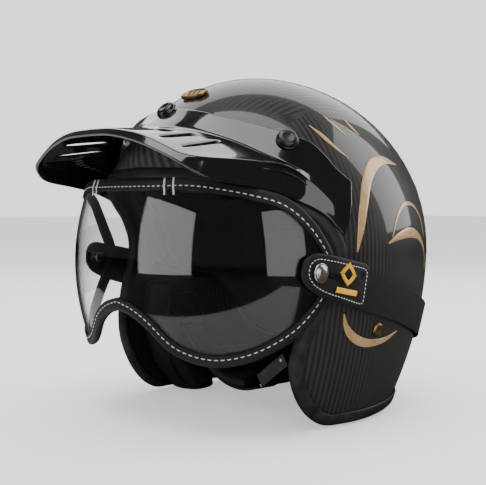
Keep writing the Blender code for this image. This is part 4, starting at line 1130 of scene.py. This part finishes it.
def slider_frame():
    """Middle of the slider, the strap's direction there, and outwards."""
    low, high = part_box("strap_slider")
    middle = (Vector(low) + Vector(high)) / 2
    tangent = Vector(JOINTS["slider_adjust"]["axis"]).normalized()
    normal = min(strap_path(140), key=lambda spot: (spot[0] - middle).length)[1]
    return middle, tangent, (normal - tangent * normal.dot(tangent)).normalized()


def make_goggle_strap(paints):
    """Elastic band that stays close to the shell and runs straight through its slider."""
    middle, line, out = slider_frame()
    flat = SLIDER_LENGTH / 2 + SLIDER_TRAVEL + 0.002
    fade = 0.016
    moved = []
    for point, normal in strap_path(220):
        distance = (point - middle).dot(line)
        weight = 0.0
        if (point - middle).length < 0.06:
            weight = smooth_step((flat + fade - abs(distance)) / fade)
        moved.append((point.lerp(middle + line * distance, weight), normal.lerp(out, weight)))
    frames = path_frames([point for point, _ in moved], [normal for _, normal in moved])
    maker = bmesh.new()
    sweep(maker, frames, ribbon_section(STRAP_WIDTH, STRAP_WALL))
    band = finish_piece("elastic_band", maker, paints["elastic"], None,
                        ["goggle_strap"])
    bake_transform(band)


def make_slider(paints):
    """Strap slider: a rounded frame with three bars over the band and one under it."""
    middle, line, out = slider_frame()
    across = out.cross(line).normalized()
    half_long = SLIDER_LENGTH / 2 - 0.0014
    half_wide = STRAP_WIDTH / 2 + 0.0021
    maker = bmesh.new()
    ring = []
    for k in range(48):
        a = 2 * math.pi * k / 48
        squash = (abs(math.cos(a)) ** 8 + abs(math.sin(a)) ** 8) ** (-1 / 8)
        ring.append(middle + line * half_long * math.cos(a) * squash
                    + across * half_wide * math.sin(a) * squash)
    section = [(a * 0.0013, b * 0.0021) for a, b in round_section(1.0, 10)]
    sweep(maker, path_frames(ring, out, closed=True), section, closed=True)
    for lift, width, shift in ((0.0019, 0.0026, 0.0), (0.0019, 0.0026, 0.0052),
                               (0.0019, 0.0026, -0.0052), (-0.0019, 0.0020, 0.0)):
        bar = [middle + line * shift + across * half_wide * s + out * lift
               for s in (-1.0, -0.8, -0.4, 0.0, 0.4, 0.8, 1.0)]
        section = [(a * width / 2, b * 0.0006) for a, b in round_section(1.0, 8)]
        sweep(maker, path_frames(bar, out), section)
    finish_piece("ladder_slider", maker, paints["plastic"], "slider",
                 ["strap_slider"])


# ---- padding -------------------------------------------------------------------------------
def swell(name, node, body, paints, voxel, inset, cap):
    """Cushion made from a CAD solid: drawn in, remeshed, blown up as cloth, and capped."""
    mesh = frame["nodes"][node].data.copy()
    mesh.name = name
    mesh.materials.clear()
    mesh.materials.append(paints["pad_leather"])
    piece = add_object(name, mesh)
    maker = bmesh.new()
    maker.from_mesh(mesh)
    bmesh.ops.remove_doubles(maker, verts=maker.verts, dist=0.00001)
    maker.normal_update()
    for vertex in maker.verts:
        vertex.co -= vertex.normal * inset
    maker.to_mesh(mesh)
    maker.free()
    remesh = piece.modifiers.new("Remesh", "REMESH")
    remesh.mode = "VOXEL"
    remesh.voxel_size = voxel
    apply_all(piece)
    start = [vertex.co.copy() for vertex in piece.data.vertices]
    last_frame = 20
    cloth = piece.modifiers.new("Cloth", "CLOTH")
    cloth.settings.use_pressure = True
    cloth.settings.uniform_pressure_force = 4.0
    cloth.settings.effector_weights.gravity = 0.0
    cloth.settings.tension_stiffness = 12.0
    cloth.point_cache.frame_start = 1
    cloth.point_cache.frame_end = last_frame
    for number in range(1, last_frame + 1):
        bpy.context.scene.frame_set(number)
    apply_all(piece)
    bpy.context.scene.frame_set(1)
    for vertex, origin in zip(piece.data.vertices, start):
        shift = vertex.co - origin
        if shift.length > cap:
            vertex.co = origin + shift.normalized() * cap
        vertex.co.z = max(vertex.co.z, FLOOR_GAP)
    for polygon in piece.data.polygons:
        polygon.use_smooth = True
    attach(piece, body)
    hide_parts(node)
    add_smoothing(piece, 1)
    return piece


def apply_all(piece):
    """Replace a piece's mesh by what its modifiers make of it."""
    graph = bpy.context.evaluated_depsgraph_get()
    mesh = bpy.data.meshes.new_from_object(piece.evaluated_get(graph), depsgraph=graph)
    piece.modifiers.clear()
    piece.data = mesh


def seam_over(name, piece, route, count, paints, closed=False):
    """Piping that follows a route drawn onto a swollen cushion."""
    radius = 0.0011
    maker = bmesh.new()
    maker.from_mesh(piece.data)
    tree = BVHTree.FromBMesh(maker)
    maker.free()
    points = []
    ups = []
    for k in range(count + (0 if closed else 1)):
        spot, normal, _, _ = tree.find_nearest(route(k / count))
        points.append(spot + normal * radius * 0.35)
        ups.append(normal)
    for _ in range(3):
        smooth = list(points)
        for k in range(len(points)):
            if closed or k not in (0, len(points) - 1):
                smooth[k] = (points[k - 1] + points[k] * 2 + points[(k + 1) % len(points)]) / 4
        points = smooth
    maker = bmesh.new()
    sweep(maker, path_frames(points, ups, closed), round_section(radius, 8), closed)
    finish_piece(name, maker, paints["leather"], "helmet")


def make_cheek_pads(paints):
    """Cheek cushions, each with a loop of piping on the face towards the cheek."""
    for side, word in SIDES:
        node = "cheek_pad_" + word
        pad = swell("cheek_cushion_" + word, node, "helmet", paints, 0.0042, 0.0016, 0.0034)
        low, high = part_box(node)
        middle = (Vector(low) + Vector(high)) / 2
        half = (Vector(high) - Vector(low)) / 2

        def route(t):
            a = 2 * math.pi * t
            squash = (abs(math.cos(a)) ** 3.5 + abs(math.sin(a)) ** 3.5) ** (-1 / 3.5)
            z = middle.z + half.z * 0.84 * math.sin(a) * squash
            y = middle.y - 0.002 + half.y * 0.72 * math.cos(a) * squash
            return Vector((middle.x - side * half.x * 0.62, y, z))

        seam_over("cheek_piping_" + word, pad, route, 90, paints, closed=True)


def make_neck_roll(paints):
    """Neck cushion with piping along the face towards the neck."""
    roll = swell("neck_cushion", "neck_roll", "helmet", paints, 0.0042, 0.0014, 0.0030)

    def route(t):
        angle = 110 + 140 * t
        return on_shell(angle if angle <= 180 else angle - 360, level_of(0.016), -0.031)

    seam_over("neck_piping", roll, route, 80, paints)


# ---- chin strap ----------------------------------------------------------------------------
def chin_height(x):
    """Height of the chin strap at x: a sagging curve, straight where the buckle is."""
    def hang(place):
        return HINGE_Z - CHIN_SAG * (1 - (place / HINGE_X) ** 2)

    start, end = BUCKLE_REACH
    if start < x < end:
        return hang(start) + (hang(end) - hang(start)) * (x - start) / (end - start)
    return hang(x)


def chin_frames(start, end, count):
    points = []
    ups = []
    for k in range(count + 1):
        x = start + (end - start) * k / count
        slope = (chin_height(x + 0.002) - chin_height(x - 0.002)) / 0.004
        points.append(Vector((x, CENTRE_Y + HINGE_Y, chin_height(x))))
        ups.append(Vector((-slope, 0, 1)).normalized())
    return path_frames(points, ups)


def make_chin_webbing(paints):
    """Webbing either side of the buckle, and its roots between the rivets and the cheek pads."""
    section = ribbon_section(CHIN_WIDTH, 0.0019)
    maker = bmesh.new()
    sweep(maker, chin_frames(0.0539, HINGE_X, 16), section)
    finish_piece("chin_web_left", maker, paints["webbing"], "chin_strap",
                 ["chin_strap_left"])
    maker = bmesh.new()
    sweep(maker, chin_frames(-HINGE_X, 0.0197, 90), section)
    web = finish_piece("chin_web_right", maker, paints["webbing"], None,
                       ["chin_strap_right"])
    at_tongue, far = ((x, 0, chin_height(x)) for x in (0.019, -0.030))
    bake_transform(web)
    for side, word in SIDES:
        start = Vector((side * (HINGE_X + 0.0003), CENTRE_Y + HINGE_Y, HINGE_Z + 0.0004))
        outer = on_shell(side * ANCHOR_ANGLE, level_of(ANCHOR_Z), -SHELL_WALL - 0.0075)
        points = [start.lerp(outer, k / 20) for k in range(21)]
        maker = bmesh.new()
        sweep(maker, path_frames(points, Vector((0, 0, 1))), section)
        finish_piece("root_web_" + word, maker, paints["webbing"], "helmet",
                     ["strap_root_" + word])


def make_chin_pad(paints):
    swell("chin_cushion", "chin_pad", "chin_strap", paints, 0.0026, 0.0006, 0.0018)


# ---- room ----------------------------------------------------------------------------------
def make_floor():
    """Pale floor. Mirrored rays see it dark, but for a bright strip in front of the helmet."""
    maker = bmesh.new()
    bmesh.ops.create_grid(maker, x_segments=8, y_segments=8, size=9.0)
    mesh = bpy.data.meshes.new("floor")
    maker.to_mesh(mesh)
    maker.free()
    floor = add_object("floor", mesh)
    paint = Paint("pale_floor", (0.9, 0.9, 0.9), 0.8, Specular_IOR_Level=0.1)
    x, y, _ = paint.split(paint.place())
    near = paint.spread(y, -0.310, -0.300, 0.0, 1.0)
    front = paint.spread(y, -0.09, -0.07, 1.0, 0.0)
    beside = paint.spread(paint.math("ABSOLUTE", x), 0.60, 0.62, 1.0, 0.0)
    strip = paint.times(paint.times(near, front), beside)
    reflected = paint.blend(strip, (0.05, 0.05, 0.05), (0.9, 0.9, 0.9))
    path = paint.node("LightPath").outputs
    grain = paint.blend(paint.noise(3.0), (0.88, 0.88, 0.88), (0.92, 0.92, 0.92))
    mirrored = paint.math("GREATER_THAN", path["Glossy Depth"], 0.5)
    paint.colour(paint.blend(mirrored, grain, reflected))
    # rays straight from the camera, or through the lens, also see it glow
    direct = paint.math("LESS_THAN", paint.plus(path["Glossy Depth"], path["Diffuse Depth"]), 0.5)
    paint.set("Emission Color", (1.0, 1.0, 1.0, 1.0))
    paint.plug(paint.times(direct, 0.55), paint.shader.inputs["Emission Strength"])
    paint.roughness(paint.noise(3.0), 0.3, 0.7, 0.75, 0.9)
    mesh.materials.append(paint.material)


def add_soft_box(name, azimuth, elevation, distance, width, height, power):
    """Rectangular light that faces the helmet from a direction."""
    a = math.radians(azimuth)
    e = math.radians(elevation)
    light = bpy.data.lights.new(name, "AREA")
    light.shape = "RECTANGLE"
    light.size = width
    light.size_y = height
    light.energy = power
    holder = add_object(name, light)
    away = Vector((math.sin(a) * math.cos(e), -math.cos(a) * math.cos(e), math.sin(e)))
    holder.location = HEAD + away * distance
    holder.rotation_euler = away.to_track_quat("Z", "Y").to_euler()


def make_world():
    """Even white light of three strengths: seen directly, lighting the object, and mirrored."""
    world = bpy.data.worlds.new("studio")
    bpy.context.scene.world = world
    world.use_nodes = True
    tree = world.node_tree
    path = tree.nodes.new("ShaderNodeLightPath")

    def switch(depth, below, above):
        """The shader for rays with a bounce of this kind behind them, or the one for the rest."""
        test = tree.nodes.new("ShaderNodeMath")
        test.operation = "GREATER_THAN"
        test.inputs[1].default_value = 0.5
        mix = tree.nodes.new("ShaderNodeMixShader")
        tree.links.new(path.outputs[depth], test.inputs[0])
        for output, socket in zip((test.outputs[0], below, above), mix.inputs):
            tree.links.new(output, socket)
        return mix.outputs[0]

    pale = tree.nodes["Background"]
    ambient, dim = (tree.nodes.new("ShaderNodeBackground") for _ in range(2))
    for node, strength in ((pale, 1.7), (ambient, 0.8), (dim, 0.07)):
        node.inputs["Color"].default_value = (1.0, 1.0, 1.0, 1.0)
        node.inputs["Strength"].default_value = strength
    around = switch("Diffuse Depth", pale.outputs[0], ambient.outputs[0])
    tree.links.new(switch("Glossy Depth", around, dim.outputs[0]),
                   tree.nodes["World Output"].inputs["Surface"])


def make_room():
    make_floor()
    make_world()
    # name, azimuth, elevation, distance, width, height, power
    add_soft_box("front_panel", -21.0, 5.0, 1.3, 0.74, 0.74, 4.2)
    add_soft_box("side_panel", 71.0, 10.0, 1.3, 1.10, 0.96, 6.0)
    add_soft_box("top_panel", 20.0, 74.0, 1.5, 1.3, 1.1, 16.0)
    add_soft_box("back_panel", -137.0, 42.0, 1.4, 1.5, 1.0, 8.5)
    add_soft_box("rear_panel", 158.0, 28.0, 1.4, 0.7, 1.2, 8.0)


def add_camera():
    """Camera where the photographer stood: close by, level with the helmet's upper half."""
    azimuth = math.radians(47.0)
    distance, height = 0.730, 0.151
    aim = Vector((-0.004, -0.004, 0.1215))
    camera = bpy.data.cameras.new("camera")
    camera.sensor_width = 36.0
    camera.lens = 72.0
    holder = add_object("camera", camera)
    holder.location = (distance * math.sin(azimuth), CENTRE_Y - distance * math.cos(azimuth),
                       height)
    holder.rotation_euler = (holder.location - aim).to_track_quat("Z", "Y").to_euler()
    bpy.context.scene.camera = holder


def give_cad_materials(paints):
    """Materials for the CAD nodes that stay visible."""
    for node in ("snap_stud_centre", "snap_stud_left", "snap_stud_right", "buckle_housing",
                 "lever_pin", "ratchet_tongue", "release_lever"):
        mesh = frame["nodes"][node].data
        mesh.materials.clear()
        mesh.materials.append(paints["plastic" if node == "buckle_housing" else "steel"])


def make_paints():
    return {
        "carbon": carbon_paint(), "gloss": gloss_paint(),
        "cap": gloss_paint("cap_black", (0.005, 0.005, 0.0055), 0.3, 0.35),
        "rubber": rubber_paint(), "foam": foam_paint(),
        "knit": knit_paint("crown_knit", (0.006, 0.006, 0.0065)),
        "leather": leather_paint("piping_leather"),
        "pad_leather": leather_paint("pad_leather", (0.0062, 0.0062, 0.0065), 520.0, 0.58),
        "trim_leather": leather_paint("binding_leather", (0.0055, 0.0053, 0.005), 760.0, 0.46),
        "tab_leather": leather_paint("tab_leather", (0.0058, 0.0055, 0.0052), 700.0, 0.48),
        "lens": lens_paint(), "elastic": webbing_paint("elastic_weave", (0.0045, 0.0045, 0.0048)),
        "webbing": webbing_paint("strap_weave", (0.006, 0.006, 0.0065), 0.0021),
        "thread": thread_paint("pale_thread", (0.62, 0.62, 0.60)),
        "yellow": thread_paint("yellow_thread", (0.86, 0.47, 0.0)),
        "gold": gold_paint(), "bronze": metal_paint("aged_bronze", (0.44, 0.28, 0.13), 0.36),
        "nickel": metal_paint("warm_nickel", (0.78, 0.68, 0.62), 0.24),
        "steel": metal_paint("brushed_steel_look", (0.52, 0.52, 0.53), 0.3),
        "plastic": plastic_paint(),
    }


def main():
    add_camera()
    make_room()
    paints = make_paints()
    make_shell(paints)
    make_crown_lining(paints)
    make_edge_trim(paints)
    make_badge(paints)
    make_rivets(paints)
    make_strokes(paints)
    make_peak(paints)
    make_lens(paints)
    make_lens_binding(paints)
    for side, word in SIDES:
        make_tab(side, word, paints)
    make_press_studs(paints)
    make_goggle_strap(paints)
    make_slider(paints)
    make_cheek_pads(paints)
    make_neck_roll(paints)
    make_chin_webbing(paints)
    make_chin_pad(paints)
    give_cad_materials(paints)


main()
